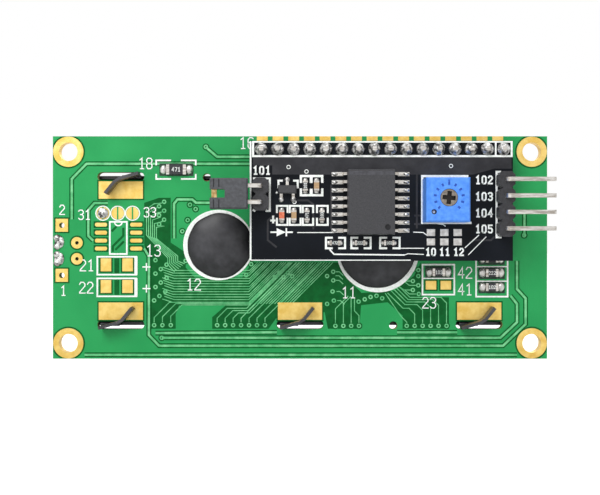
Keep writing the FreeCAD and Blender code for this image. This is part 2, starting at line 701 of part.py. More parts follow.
def make_main_copper():
    rings, linings = [], []
    for x, z in corner_places():
        bore = disc(x, z, "corner_hole_diameter")
        rings += [disc(x, z, "corner_ring_diameter"), bore]
        linings += [disc(x, z, "(corner_hole_diameter+2*hole_plating)"), bore]
    body = new_body("corner_rings")
    slab(body, "linings", "-copper_rise", "board_thickness+2*copper_rise", *linings)
    both_faces(body, "rings", *rings)

    landings = []
    for x, side in tab_places():
        inward = f"(slot_height/2+tab_pad_height/2)*({side})"
        landings.append(box(x, f"{tab_wall_z(side)}-{inward}", "tab_pad_width", "tab_pad_height"))
    slab(new_body("tab_landings"), "landings", MAIN_BACK, "copper_rise", *landings)

    supply = []
    for x, z in supply_places():
        supply += [box(x, z, "supply_pad_width", "supply_pad_height")]
        supply += [disc(x, z, "supply_hole_diameter")]
    both_faces(new_body("supply_pads"), "pads", *supply)

    tests = []
    for x, z in test_places():
        tests += [disc(x, z, "test_pad_diameter"), disc(x, z, "test_hole_diameter")]
    slab(new_body("test_pads"), "pads", MAIN_BACK, "copper_rise", *tests)

    radius = "(header_pad_width/2)"
    end = f"({HEADER_Z}+header_pad_end_drop-{radius})"
    left, right = f"({HEADER_FIRST_X}-{radius})", f"({HEADER_FIRST_X}+{radius})"
    corner = "(header_pad_width/(2+sqrt(2)))"
    top = "(board_height/2)"
    tongue = outline([
        (left, f"{end}+{corner}"), (f"{left}+{corner}", end), (f"{right}-{corner}", end),
        (right, f"{end}+{corner}"), (right, top), (left, top),
    ])
    hole = box(HEADER_FIRST_X, HEADER_Z, "pin_width", "pin_width")
    for label, front in (("header_pads_front", "-copper_rise"), ("header_pads_back", MAIN_BACK)):
        body = new_body(label)
        first = slab(body, "first_pad", front, "copper_rise", tongue, hole)
        repeat(body, "pads", [first], "X_Axis", "pitch", "header_pin_count")

    body = new_body("unused_chip_pads")
    first = slab(body, "first_row", MAIN_BACK, "copper_rise", *[
        pill(x, "unused_pad_top_z", "unused_pad_width", "unused_pad_height")
        for x in (f"({RIGHT_EDGE}-unused_pad_inner_inset)",
                  f"({RIGHT_EDGE}-unused_pad_outer_inset)")])
    repeat(body, "rows", [first], "Z_Axis", "unused_pad_pitch", "unused_pad_rows", True)

    tall = [(x, z) for x in (f"({RIGHT_EDGE}-tall_pad_outer_inset)",
                             f"({RIGHT_EDGE}-tall_pad_inner_inset)")
            for z in ("tall_pad_upper_z", "tall_pad_lower_z")]
    low = [(f"({LEFT_EDGE}+{inset})", "low_pad_z")
           for inset in ("low_pad_outer_inset", "low_pad_inner_inset")]
    slab(new_body("unused_capacitor_pads"), "pads", MAIN_BACK, "copper_rise",
         *[box(x, z, "capacitor_pad_width", "capacitor_pad_height") for x, z in tall],
         *[box(x, z, "capacitor_pad_width", "capacitor_pad_low_height") for x, z in low])

    body = new_body("link_pads")
    slab(body, "discs", MAIN_BACK, "copper_rise",
         *[disc(x, "link_pad_z", "2*link_pad_radius") for x in link_places()])
    cut(body, "splits", MAIN_BACK, "copper_rise",
        *[box(x, "link_pad_z", "link_pad_gap", "3*link_pad_radius") for x in link_places()])
    turned(new_body("link_solder"), "dome", link_places()[0], "link_pad_z",
           dome(f"{MAIN_BACK}+copper_rise", "link_solder_radius", "link_solder_height", 1))


def link_places():
    """The three split pads; the first is bridged with solder."""
    return [f"({RIGHT_EDGE}-link_pad_inset-{step}*link_pad_pitch)" for step in range(3)]


def dome(base, radius, height, side):
    """Half profile of a dome that stands on the base, rising along Y for side 1."""
    curve = f"((({radius})^2+({height})^2)/(2*({height})))"
    rim, peak = ("0", base), ("0", f"{base}+({side})*({height})")
    corners = [rim, (radius, base), peak]
    return outline(corners, {1: (curve, side)})


# Frame, glass and backlight

def tab_outline(x, side):
    """A turned tab seen from the display side: its heel is tilted and its toe bent inwards."""
    wall = tab_wall_z(side)
    half, gauge = "(tab_width/2)", "(sheet_thickness/2)"
    inner, outer = "tab_bend_radius", "(tab_bend_radius+sheet_thickness)"
    bend = f"(tab_bend_radius+{gauge})"
    rest = f"({half}-{bend}*tab_angle*pi/180)"

    def tilted(along, across):
        lever = f"(({along})+{half}/2)"
        sideways = f"({lever}*cos(tab_tilt)-({across})*sin(tab_tilt)-{half}/2)"
        inwards = f"({lever}*sin(tab_tilt)+({across})*cos(tab_tilt))"
        return (f"({x})+({side})*{sideways}", f"{wall}-({side})*{inwards}")

    def bent(beyond, across):
        lever = f"({bend}-({across}))"
        along = f"{lever}*sin(tab_angle)+({beyond})*cos(tab_angle)"
        inwards = f"{bend}-{lever}*cos(tab_angle)+({beyond})*sin(tab_angle)"
        return tilted(along, inwards)

    return outline([
        tilted("0", gauge), tilted(f"-{half}", gauge),
        tilted(f"-{half}", f"-{gauge}"), tilted("0", f"-{gauge}"),
        bent("0", f"-{gauge}"), bent(rest, f"-{gauge}"), bent(rest, gauge), bent("0", gauge),
    ], {3: (outer, 1), 7: (inner, -1)})


def make_bezel():
    body = new_body("bezel")
    slab(body, "block", "-bezel_depth", "bezel_depth",
         box("0", BEZEL_Z, BEZEL_WIDTH, BEZEL_HEIGHT))
    face = -number("bezel_depth")
    block = body.Tip
    dress(body, "Fillet", "folds", block, "fold_radius", lambda c, e: abs(c.y - face) < 1e-3)
    cut(body, "hollow", FACE_BACK, "bezel_depth",
        box("0", BEZEL_Z, f"{BEZEL_WIDTH}-2*sheet_thickness", f"{BEZEL_HEIGHT}-2*sheet_thickness"))
    window = cut(body, "window", "-bezel_depth", "sheet_thickness",
                 box("0", BEZEL_Z, WINDOW_WIDTH, WINDOW_HEIGHT))
    half_width, half_height = number(WINDOW_WIDTH) / 2, number(WINDOW_HEIGHT) / 2

    def is_window_corner(c, e):
        beside = abs(abs(c.x) - half_width) < 1e-3
        level = abs(abs(c.z - number(BEZEL_Z)) - half_height) < 1e-3
        return beside and level

    dress(body, "Fillet", "window_corners", window, "window_radius", is_window_corner)
    bead_length = f"({WINDOW_WIDTH}+2*bead_overhang)"
    beads = [stadium("0", f"{BEZEL_Z}+({s})*({BEZEL_HEIGHT}/2-bead_inset)", bead_length,
                     "bead_width") for s in (1, -1)]
    cut(body, "bead_grooves", "-bezel_depth", "bead_depth", *beads)
    slab(body, "bead_ridges", FACE_BACK, "polariser_thickness", *beads)
    reliefs = []
    for a in (-1, 1):
        for b in (-1, 1):
            x = f"({a})*({BEZEL_WIDTH}/2-corner_relief/2)"
            z = f"{BEZEL_Z}+({b})*({BEZEL_HEIGHT}/2-corner_relief/2)"
            reliefs.append(box(x, z, "corner_relief", "corner_relief"))
    cut(body, "corner_reliefs", "-bezel_depth", "bezel_depth", *reliefs)
    opening = "(tongue_thickness+notch_clearance)"
    wall = f"({BEZEL_WIDTH}/2-sheet_thickness/2)"
    cut(body, "wall_notches", f"-{opening}", opening,
        box(wall, BEZEL_Z, "2*sheet_thickness", "notch_height"),
        box(f"-{wall}", BEZEL_Z, "2*sheet_thickness", "left_notch_height"))
    slab(body, "tab_necks", "-sheet_thickness", "sheet_thickness+board_thickness+tab_root",
         *[box(f"({x})-({side})*(tab_width-tab_neck)/2", tab_wall_z(side), "tab_neck",
               "sheet_thickness") for x, side in tab_places()])
    slab(body, "tabs", "board_thickness+tab_root", "tab_reach-tab_root",
         *[tab_outline(x, side) for x, side in tab_places()])


def make_display_stack():
    middle = ("0", BEZEL_Z)
    slab(new_body("front_polariser"), "film", FACE_BACK, "polariser_thickness",
         box(*middle, f"{WINDOW_WIDTH}+2*front_polariser_overlap",
             f"{WINDOW_HEIGHT}+2*front_polariser_overlap"))
    slab(new_body("front_glass"), "plate", GLASS_FRONT, "glass_thickness",
         box(*middle, GLASS_WIDTH, FRONT_GLASS_HEIGHT))
    slab(new_body("rear_glass"), "plate", LEDGE, "glass_thickness",
         box(*middle, GLASS_WIDTH, REAR_GLASS_HEIGHT))
    film = box(*middle, f"{GLASS_WIDTH}-2*rear_polariser_inset",
               f"{REAR_GLASS_HEIGHT}-2*rear_polariser_inset")
    slab(new_body("rear_polariser"), "film", REAR_GLASS_BACK, "polariser_thickness", film)
    slab(new_body("diffuser_film"), "film", FILM_FRONT, "diffuser_thickness", film)
    for label, side in (("upper_contact_strip", 1), ("lower_contact_strip", -1)):
        slab(new_body(label), "strip", LEDGE, f"-{LEDGE}",
             box("0", f"{BEZEL_Z}+({side})*{STRIP_OFFSET}",
                 f"{GLASS_WIDTH}-2*contact_strip_inset", "contact_strip_width"))


def make_backlight():
    depth = f"(-{BACKLIGHT_FRONT})"
    edge = f"({BACKLIGHT_WIDTH}/2)"
    well = box("0", BEZEL_Z, f"{BACKLIGHT_WIDTH}-2*backlight_wall",
               f"{BACKLIGHT_HEIGHT}-2*backlight_wall")
    tip = f"({RIGHT_EDGE}-tongue_end_inset)"
    neck_x = f"({BEZEL_WIDTH}/2)"
    half_base, half_tip = "(tongue_base/2)", "(tongue_tip/2)"
    body = new_body("backlight_frame")
    slab(body, "tray", BACKLIGHT_FRONT, depth,
         box("0", BEZEL_Z, BACKLIGHT_WIDTH, BACKLIGHT_HEIGHT))
    slab(body, "tongue", "-tongue_thickness", "tongue_thickness-tongue_gap", outline([
        (f"{edge}-backlight_wall/2", f"{BEZEL_Z}-{half_base}"),
        (neck_x, f"{BEZEL_Z}-{half_base}"),
        (tip, f"{BEZEL_Z}-{half_tip}"),
        (tip, f"{BEZEL_Z}+{half_tip}"),
        (neck_x, f"{BEZEL_Z}+{half_base}"),
        (f"{edge}-backlight_wall/2", f"{BEZEL_Z}+{half_base}"),
    ]))
    cut(body, "well", BACKLIGHT_FRONT, f"{depth}-backlight_floor", well)
    strip_x = f"({edge}-backlight_wall+diode_strip_width/2)"
    cut(body, "diode_pocket", BACKLIGHT_FRONT, f"{depth}-backlight_floor",
        box(strip_x, BEZEL_Z, "diode_strip_width", "diode_strip_length"))
    guide_depth = f"({depth}-backlight_floor)"
    slab(new_body("light_guide"), "plate", BACKLIGHT_FRONT, guide_depth, well)
    slab(new_body("backlight_diodes"), "strip", BACKLIGHT_FRONT, guide_depth,
         box(strip_x, BEZEL_Z, "diode_strip_width", "diode_strip_length"))

    body = new_body("backlight_solder_joints")
    x, z = EDGE_JOINT_X, edge_joint_top()
    filling = slab(body, "filling", "-edge_joint_front_reach",
                   "edge_joint_front_reach+board_thickness", octagon(x, z, "edge_hole_diameter"))
    lump = stepped(body, "lump", [
        (MAIN_BACK, octagon(x, z, "edge_joint_diameter")),
        (f"{MAIN_BACK}+edge_joint_height",
         octagon(x, z, "edge_joint_diameter*edge_joint_top")),
    ])
    repeat(body, "joints", [filling, lump], "Z_Axis", "edge_joint_pitch", "edge_joint_count", True)


# Domes and parts on the back of the main board

def make_domes():
    rings = []
    places = (("controller", "(board_width*controller_share)"),
              ("driver", f"({LEFT_EDGE}+driver_inset)"))
    for place, x in places:
        label, z, radius = f"{place}_dome", f"{place}_z", f"{place}_radius"
        rise = "(dome_height-dome_edge)"
        edge = f"({MAIN_BACK}+dome_edge)"
        shoulder = (f"{radius}*dome_shoulder", f"{edge}+{rise}*dome_shoulder_level")
        turned(new_body(label), "dome", x, z, outline([
            ("0", MAIN_BACK), (radius, MAIN_BACK), (radius, edge), shoulder,
            ("0", f"{MAIN_BACK}+dome_height")]))
        rings += [disc(x, z, f"2*({radius}+dam_width)"), disc(x, z, f"2*{radius}")]
    slab(new_body("dome_rings"), "rings", MAIN_BACK, "dam_rise", *rings)


def chip_parts(bodies, ends, name, base, places, sizes):
    """Chip parts at the places: the blocks in one body and their plated ends in another."""
    length, width, height, end = sizes
    blocks, caps = [], []
    for x, z, upright in places:
        if upright:
            blocks.append(box(x, z, width, f"{length}-2*{end}"))
            for s in (1, -1):
                caps.append(box(x, f"{z}+({s})*({length}-{end})/2", width, end))
        else:
            blocks.append(box(x, z, f"{length}-2*{end}", width))
            for s in (1, -1):
                caps.append(box(f"{x}+({s})*({length}-{end})/2", z, end, width))
    slab(bodies, f"{name}_blocks", base, height, *blocks)
    slab(ends, f"{name}_ends", base, height, *caps)


def make_main_board_resistors():
    bodies, ends = new_body("main_board_resistors"), new_body("main_board_resistor_ends")
    large = ("large_chip_length", "large_chip_width", "resistor_height", "large_chip_end")
    medium = ("medium_chip_length", "medium_chip_width", "resistor_height", "medium_chip_end")
    chip_parts(bodies, ends, "large", MAIN_BACK,
               [(f"({RIGHT_EDGE}-large_resistor_inset)", "large_resistor_z", False)], large)
    places = [(f"({LEFT_EDGE}+bias_resistor_inset)", "bias_resistor_z", False)]
    for step in range(3):
        z = f"(stack_resistor_top_z-{step}*stack_resistor_pitch)"
        places.append((f"({LEFT_EDGE}+stack_resistor_inset)", z, False))
    chip_parts(bodies, ends, "medium", MAIN_BACK, places, medium)


# Adapter board and what it carries

def make_adapter_board():
    body = new_body("adapter_board")
    slab(body, "plate", ADAPTER_FRONT, "adapter_thickness",
         span(ADAPTER_LEFT, ADAPTER_RIGHT, f"{ADAPTER_TOP}-adapter_height", ADAPTER_TOP))
    hole = cut(body, "first_header_hole", ADAPTER_FRONT, "adapter_thickness",
               octagon(HEADER_FIRST_X, HEADER_Z, "header_hole_diameter"))
    repeat(body, "header_holes", [hole], "X_Axis", "pitch", "header_pin_count")
    for name, x, top, count in right_angle_headers():
        hole = cut(body, f"first_{name}_hole", ADAPTER_FRONT, "adapter_thickness",
                   octagon(x, top, "header_hole_diameter"))
        repeat(body, f"{name}_holes", [hole], "Z_Axis", "pitch", count, True)
    cut(body, "trimmer_holes", ADAPTER_FRONT, "adapter_thickness",
        *[disc(x, z, "trimmer_pin_diameter") for x, z in trimmer_pin_places()])


def right_angle_headers():
    """Name, place of the upper pin and number of pins of the two bent headers."""
    return [
        ("serial", SERIAL_X, SERIAL_TOP_Z, "serial_pin_count"),
        ("jumper", JUMPER_X, JUMPER_TOP_Z, "jumper_pin_count"),
    ]


def solder_joint(body, name, x, z, face, way, height, diameter, foot):
    """Solder round a pin, eight-sided: a straight foot and a slope that ends at the pin."""
    tip = "(pin_width*sqrt(2)+2*joint_collar)"
    rise = f"({height}*{foot})"
    low = face if way > 0 else f"{face}-{rise}"
    base = slab(body, f"{name}_foot", low, rise, octagon(x, z, diameter))
    slope = stepped(body, f"{name}_slope", [
        (f"{face}+({way})*{rise}", octagon(x, z, diameter)),
        (f"{face}+({way})*{height}", octagon(x, z, tip)),
    ])
    low = face if way > 0 else f"{face}-{height}"
    bore = cut(body, f"{name}_bore", low, height, box(x, z, "pin_width", "pin_width"))
    return [base, slope, bore]


def make_long_header():
    body = new_body("header_strip")
    base = f"({MAIN_BACK}+copper_rise)"
    x, z = HEADER_FIRST_X, HEADER_Z
    first = slab(body, "first_segment", base, "header_strip_height",
                 cut_box(x, z, "pitch", "header_strip_width", "strip_corner"),
                 box(x, z, "pin_width", "pin_width"))
    repeat(body, "segments", [first], "X_Axis", "pitch", "header_pin_count")

    body = new_body("header_pins")
    back = f"({ADAPTER_BACK}+pin_back_reach)"
    first = slab(body, "first_pin", "-pin_front_reach", f"pin_front_reach+{back}",
                 box(x, z, "pin_width", "pin_width"))
    repeat(body, "pins", [first], "X_Axis", "pitch", "header_pin_count")

    body = new_body("front_solder_joints")
    first = solder_joint(body, "first_joint", x, z, "(-copper_rise)", -1,
                         "front_joint_height", "front_joint_diameter", "cone_foot")
    repeat(body, "joints", first, "X_Axis", "pitch", "header_pin_count")

    body = new_body("adapter_solder_joints")
    first = solder_joint(body, "first_joint", x, z, ADAPTER_BACK, 1,
                         "back_joint_height", "back_joint_diameter", "dome_foot")
    repeat(body, "joints", first, "X_Axis", "pitch", "header_pin_count")


def bent_pin(x, way):
    """A bent pin in its own plane: X and Y, with the tip on the side that way gives."""
    half = "(pin_width/2)"
    outer = "(pin_bend_radius+pin_width)"
    tail = f"({ADAPTER_FRONT}-pin_tail)"
    low, high = f"({PIN_AXIS}-{half})", f"({PIN_AXIS}+{half})"
    tip = f"({x}+({way})*pin_length)"
    shoulder = f"({x}+({way})*(pin_length-tip_taper))"
    rear, front = f"({x}-({way})*{half})", f"({x}+({way})*{half})"
    corners = [
        (front, tail), (rear, tail), (rear, f"{high}-{outer}"),
        (f"{rear}+({way})*{outer}", high), (shoulder, high),
        (tip, f"{PIN_AXIS}+{half}/2"), (tip, f"{PIN_AXIS}-{half}/2"), (shoulder, low),
        (f"{front}+({way})*pin_bend_radius", low), (front, f"{low}-pin_bend_radius"),
    ]
    return outline(corners, {2: (outer, -way), 8: ("pin_bend_radius", way)})


def make_right_angle_headers():
    joints = new_body("tail_solder_joints")
    for name, x, top, count in right_angle_headers():
        way = -1 if name == "serial" else 1
        body = new_body(f"{name}_header_strip")
        first = slab(body, "first_segment", ADAPTER_BACK, "right_angle_strip_height",
                     cut_box(x, top, "header_strip_width", "pitch", "strip_corner"),
                     box(x, top, "pin_width", "pin_width"))
        repeat(body, "segments", [first], "Z_Axis", "pitch", count, True)
        body = new_body(f"{name}_header_pins")
        first = bar(body, "first_pin", "XY_Plane", top, "pin_width", bent_pin(x, way))
        repeat(body, "pins", [first], "Z_Axis", "pitch", count, True)
        first = solder_joint(joints, f"first_{name}_joint", x, top, ADAPTER_FRONT, -1,
                             "tail_joint_height", "tail_joint_diameter", "cone_foot")
        repeat(joints, f"{name}_joints", first, "Z_Axis", "pitch", count, True)


def make_jumper_cap():
    body = new_body("jumper_cap")
    web = "(pitch/2-pin_width/2-leaf_clearance-leaf_thickness)"
    front = f"({PIN_AXIS}-cap_depth/2)"
    block = slab(body, "block", front, "cap_depth",
                 span(CAP_START, CAP_END, f"{CAP_Z}-cap_height/2", f"{CAP_Z}+cap_height/2"))
    dress(body, "Chamfer", "edges", block, "cap_edge",
          lambda c, e: abs(c.y - number(PIN_AXIS)) > number("cap_depth") * 0.4)
    eye_start = f"({CAP_END}-bridge_inset-bridge_length-cap_eye_length)"
    cut(body, "ear_gap", front, "cap_depth",
        span(eye_start, f"{CAP_END}+1", f"{CAP_Z}-{web}", f"{CAP_Z}+{web}"))
    sketch = new_sketch(body, "channel_sketch", "YZ_Plane", ("0", "0", CAP_START))
    across = f"{PIN_AXIS}-leaf_width/2", f"{PIN_AXIS}+leaf_width/2"
    outward = "(pitch/2+pin_width/2+cap_clearance)"
    draw(sketch, span(*across, f"{CAP_Z}+{web}", f"{CAP_Z}+{outward}"))
    draw(sketch, span(*across, f"{CAP_Z}-{outward}", f"{CAP_Z}-{web}"))
    feature(body, "Pocket", "channels", sketch, "cap_length-bridge_inset", reverse=True)

    body = new_body("jumper_contact")
    start = f"({CAP_START}+leaf_start)"
    stop = f"({CAP_END}-bridge_inset)"
    bridge = f"({stop}-bridge_length)"
    far = f"({web}+leaf_thickness)"
    slab(body, "contact", f"{PIN_AXIS}-leaf_width/2", "leaf_width", outline([
        (start, f"{CAP_Z}-{far}"), (stop, f"{CAP_Z}-{far}"), (stop, f"{CAP_Z}+{far}"),
        (start, f"{CAP_Z}+{far}"), (start, f"{CAP_Z}+{web}"), (bridge, f"{CAP_Z}+{web}"),
        (bridge, f"{CAP_Z}-{web}"), (start, f"{CAP_Z}-{web}"),
    ]))


def trimmer_pin_places():
    """Legs of the trimmer: two beside the lower edge and one at the top."""
    return [
        (f"{TRIMMER_X}-trimmer_pin_spread", f"{TRIMMER_Z}-trimmer_pin_spread"),
        (TRIMMER_X, f"{TRIMMER_Z}+trimmer_pin_spread"),
        (f"{TRIMMER_X}+trimmer_pin_spread", f"{TRIMMER_Z}-trimmer_pin_spread"),
    ]


def make_trimmer():
    body = new_body("trimmer_housing")
    base = f"({ADAPTER_BACK}+trimmer_foot)"
    block = slab(body, "block", base, "trimmer_height-trimmer_foot",
                 box(TRIMMER_X, TRIMMER_Z, "trimmer_width", "trimmer_length"))
    face = number(TRIMMER_FACE)
    dress(body, "Chamfer", "edges", block, "trimmer_edge", lambda c, e: abs(c.y - face) < 1e-3)
    foot_x = "(trimmer_width/2-trimmer_foot_width/2)"
    slab(body, "feet", ADAPTER_BACK, "trimmer_foot", *[
        box(f"{TRIMMER_X}+({s})*{foot_x}", TRIMMER_Z, "trimmer_foot_width", "trimmer_length")
        for s in (1, -1)])
    depth = "(rotor_sink+rotor_thickness+rotor_clearance)"
    cut(body, "rotor_well", f"{TRIMMER_FACE}-{depth}", depth,
        disc(ROTOR_X, ROTOR_Z, "rotor_diameter+2*rotor_clearance"))
    cut(body, "marker_hole", f"{TRIMMER_FACE}-marker_hole_depth", "marker_hole_depth",
        disc(f"{TRIMMER_X}+marker_hole_x", f"{TRIMMER_Z}+marker_hole_z",
             "marker_hole_diameter"))
    dial_marks(body)

    body = new_body("trimmer_rotor")
    top = f"({TRIMMER_FACE}-rotor_sink)"
    slab(body, "screw", f"{top}-rotor_thickness", "rotor_thickness",
         disc(ROTOR_X, ROTOR_Z, "rotor_diameter"))
    slots = [("rotor_turn", "level"), ("rotor_turn+90", "upright")]
    for angle, name in slots:
        cut(body, f"{name}_slot", f"{top}-rotor_slot_depth", "rotor_slot_depth",
            turned_box(ROTOR_X, ROTOR_Z, "rotor_slot_length", "rotor_slot_width",
                       f"({angle})"))

    body = new_body("trimmer_legs")
    slab(body, "legs", f"{ADAPTER_FRONT}-pin_tail",
         f"pin_tail+adapter_thickness+trimmer_foot",
         *[disc(x, z, "trimmer_pin_diameter") for x, z in trimmer_pin_places()])


def dial_marks(body):
    """Short marks in a ring round the adjusting screw, with the gap of the ring below."""
    front = f"({TRIMMER_FACE}-dial_mark_depth)"
    sketch = new_sketch(body, "mark_sketch", "XZ_Plane", (ROTOR_X, ROTOR_Z, f"-{front}"))
    start = "(90+dial_range/2)"
    draw(sketch, turned_box(f"dial_mark_radius*cos({start})", f"dial_mark_radius*sin({start})",
                            "dial_mark_length", "dial_mark_width", start))
    first = feature(body, "Pocket", "first_mark", sketch, "dial_mark_depth")
    ring = body.newObject("PartDesign::PolarPattern", "marks")
    ring.Originals = [first]
    ring.Axis = (sketch, ["N_Axis"])
    ring.setExpression("Angle", bound("dial_range"))
    ring.setExpression("Occurrences", bound("dial_mark_count"))
    ring.Reversed = True
    body.Tip = ring


def gull_wing(centre, way, half_body, half_span, foot, middle, shoulder):
    """A gull-wing lead in its own plane: away from the body, and up from the adapter."""
    gauge = "lead_thickness"
    base = f"({ADAPTER_BACK}+copper_rise)"
    inner, tip = f"({centre}+({way})*{half_body})", f"({centre}+({way})*{half_span})"
    knee = f"({centre}+({way})*({half_body}+{shoulder}))"
    heel = f"({centre}+({way})*({half_span}-{foot}))"
    offset = f"({way})*{gauge}"
    return [
        (inner, f"{middle}-{gauge}/2"), (f"{knee}-{offset}*lead_bend", f"{middle}-{gauge}/2"),
        (f"{heel}-{offset}*(1-lead_bend)", base), (tip, base), (tip, f"{base}+{gauge}"),
        (f"{heel}+{offset}*lead_bend", f"{base}+{gauge}"),
        (f"{knee}+{offset}*(1-lead_bend)", f"{middle}+{gauge}/2"), (inner, f"{middle}+{gauge}/2"),
    ]


def make_expander_chip():
    body = new_body("expander_chip")
    base = f"({ADAPTER_BACK}+chip_standoff)"
    middle = f"({base}+chip_height*mould_line)"
    outline_box = box(CHIP_X, CHIP_Z, "chip_width", "chip_length")
    upper = slab(body, "upper_half", middle, "chip_height*(1-mould_line)", outline_box)
    upper.setExpression("TaperAngle", bound("-chip_draft"))
    sketch = new_sketch(body, "lower_half_sketch", "XZ_Plane", ("0", "0", f"-{middle}"))
    draw(sketch, outline_box)
    lower = feature(body, "Pad", "lower_half", sketch, "chip_height*mould_line")
    lower.setExpression("TaperAngle", bound("-chip_draft"))
    top = f"({base}+chip_height)"
    mark_x = f"({CHIP_X}-chip_width/2+dimple_inset)"
    mark_z = f"({CHIP_Z}-chip_length/2+dimple_inset)"
    cut(body, "dimple", f"{top}-dimple_depth", "dimple_depth",
        disc(mark_x, mark_z, "dimple_diameter"))

    body = new_body("expander_chip_leads")
    top_row = f"({CHIP_Z}+lead_pitch*(leads_per_side-1)/2)"
    leads = [outline(gull_wing(CHIP_X, s, "(chip_width/2)", "(lead_span/2)", "lead_foot",
                               middle, "lead_shoulder")) for s in (1, -1)]
    first = bar(body, "first_pair", "XY_Plane", top_row, "lead_width", *leads)
    repeat(body, "pairs", [first], "Z_Axis", "lead_pitch", "leads_per_side", True)

    body = new_body("expander_chip_pads")
    pads = []
    for s in (1, -1):
        x = f"{CHIP_X}+({s})*(chip_pad_start+chip_pad_end)/2"
        pads.append(box(x, top_row, "chip_pad_end-chip_pad_start", "chip_pad_width"))
    first = slab(body, "first_pair", ADAPTER_BACK, "copper_rise", *pads)
    repeat(body, "pairs", [first], "Z_Axis", "lead_pitch", "leads_per_side", True)


def make_transistor():
    body = new_body("transistor")
    base = f"({ADAPTER_BACK}+copper_rise+transistor_standoff)"
    block = slab(body, "block", base, "transistor_height",
                 box(TRANSISTOR_X, TRANSISTOR_Z, "transistor_width", "transistor_length"))
    top = number(f"{base}+transistor_height")
    dress(body, "Chamfer", "edges", block, "transistor_edge", lambda c, e: abs(c.y - top) < 1e-3)
    body = new_body("transistor_leads")
    middle = f"({base}+transistor_height*mould_line)"
    places = [(1, TRANSISTOR_X), (-1, f"{TRANSISTOR_X}-transistor_lead_spread"),
              (-1, f"{TRANSISTOR_X}+transistor_lead_spread")]
    for index, (way, x) in enumerate(places, start=1):
        points = gull_wing(TRANSISTOR_Z, way, "(transistor_length/2)",
                           "(transistor_span/2)", "transistor_foot", middle,
                           "transistor_shoulder")
        bar(body, f"lead_{index}", "YZ_Plane", x, "transistor_lead_width",
            outline([(up, away) for away, up in points]))


def make_adapter_chip_parts():
    def from_right(inset):
        return f"({ADAPTER_RIGHT}-{inset})"

    upper, middle, lower = [f"({ADAPTER_TOP}-{row}_row_drop)"
                            for row in ("upper", "middle", "lower")]
    first_x = from_right("lower_resistor_inset")
    flat = ("small_chip_length", "small_chip_width", "small_chip_height", "small_chip_end")
    tall = ("small_chip_length", "small_chip_width", "small_chip_width", "small_chip_end")
    lamp = ("small_chip_length", "small_chip_width", "power_diode_height", "small_chip_end")
    kinds = [
        ("adapter_resistor", flat, [
            (from_right("upper_resistor_inset"), upper, True),
            (from_right("middle_resistor_inset"), middle, True),
            (from_right("outer_resistor_inset"), middle, True),
            (first_x, lower, False),
            (f"({first_x}-lower_resistor_pitch)", lower, False),
            (f"({first_x}-lower_resistor_span)", lower, False),
        ]),
        ("adapter_capacitor", tall, [
            (from_right("upper_capacitor_inset"), upper, True),
            (from_right("middle_capacitor_inset"), middle, True),
        ]),
        ("power_diode", lamp, [(from_right("power_diode_inset"), middle, True)]),
    ]
    for name, sizes, places in kinds:
        blocks = name if name == "power_diode" else f"{name}s"
        chip_parts(new_body(blocks), new_body(f"{name}_ends"), "small", ADAPTER_BACK, places,
                   sizes)
    columns = [f"({ADAPTER_LEFT}+address_pad_inset-{step}*address_pad_pitch)"
               for step in range(3)]
    rows = [f"({ADAPTER_TOP}-address_{row}_drop)" for row in ("upper", "lower")]
    slab(new_body("address_pads"), "pads", ADAPTER_BACK, "copper_rise",
         *[box(x, z, "address_pad_width", "address_pad_height")
           for x in columns for z in rows])


make_main_board()
make_main_copper()
make_bezel()
make_display_stack()
make_backlight()
make_domes()
make_main_board_resistors()
make_adapter_board()
make_long_header()
make_right_angle_headers()
make_jumper_cap()
make_trimmer()
make_expander_chip()
make_transistor()
make_adapter_chip_parts()
doc.recompute()

faults = [f"{item.Name}: {item.State}" for item in doc.Objects
          if "Invalid" in item.State or "Error" in item.State]
for piece in pieces:
    shape = piece.Shape
    if shape.isNull() or not shape.isValid() or not shape.Solids:
        faults.append(f"{piece.Label}: no valid solid")
if faults:
    raise RuntimeError("; ".join(faults))

os.makedirs("parts", exist_ok=True)
for piece in pieces:
    piece.Shape.exportStep(f"parts/{piece.Label}.step")
    lengths = piece.Shape.BoundBox
    print(f"{piece.Label:28s} solids {len(piece.Shape.Solids):3d}  volume {piece.Shape.Volume:9.3f}"
          f"  x {lengths.XMin:7.2f} {lengths.XMax:7.2f}  y {lengths.YMin:6.2f} {lengths.YMax:6.2f}"
          f"  z {lengths.ZMin:7.2f} {lengths.ZMax:7.2f}")
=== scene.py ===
# %% [markdown]
# # A character display module, seen from its soldered side
# The module is two boards joined by a row of sixteen pins. The large green board carries a liquid
# crystal display in a folded steel frame, and a small black board behind it carries the serial
# adapter. The solids come from the CAD model and stay where they are. This lesson gives each of
# them its finish, and adds what is printed, etched or marked on them: copper tracks, white legends
# and the small marks of the moulded parts. One unit is a metre, so a helper turns millimetres.

# %% Load the fixed model
import math

import bmesh
import bpy
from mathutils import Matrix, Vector, noise


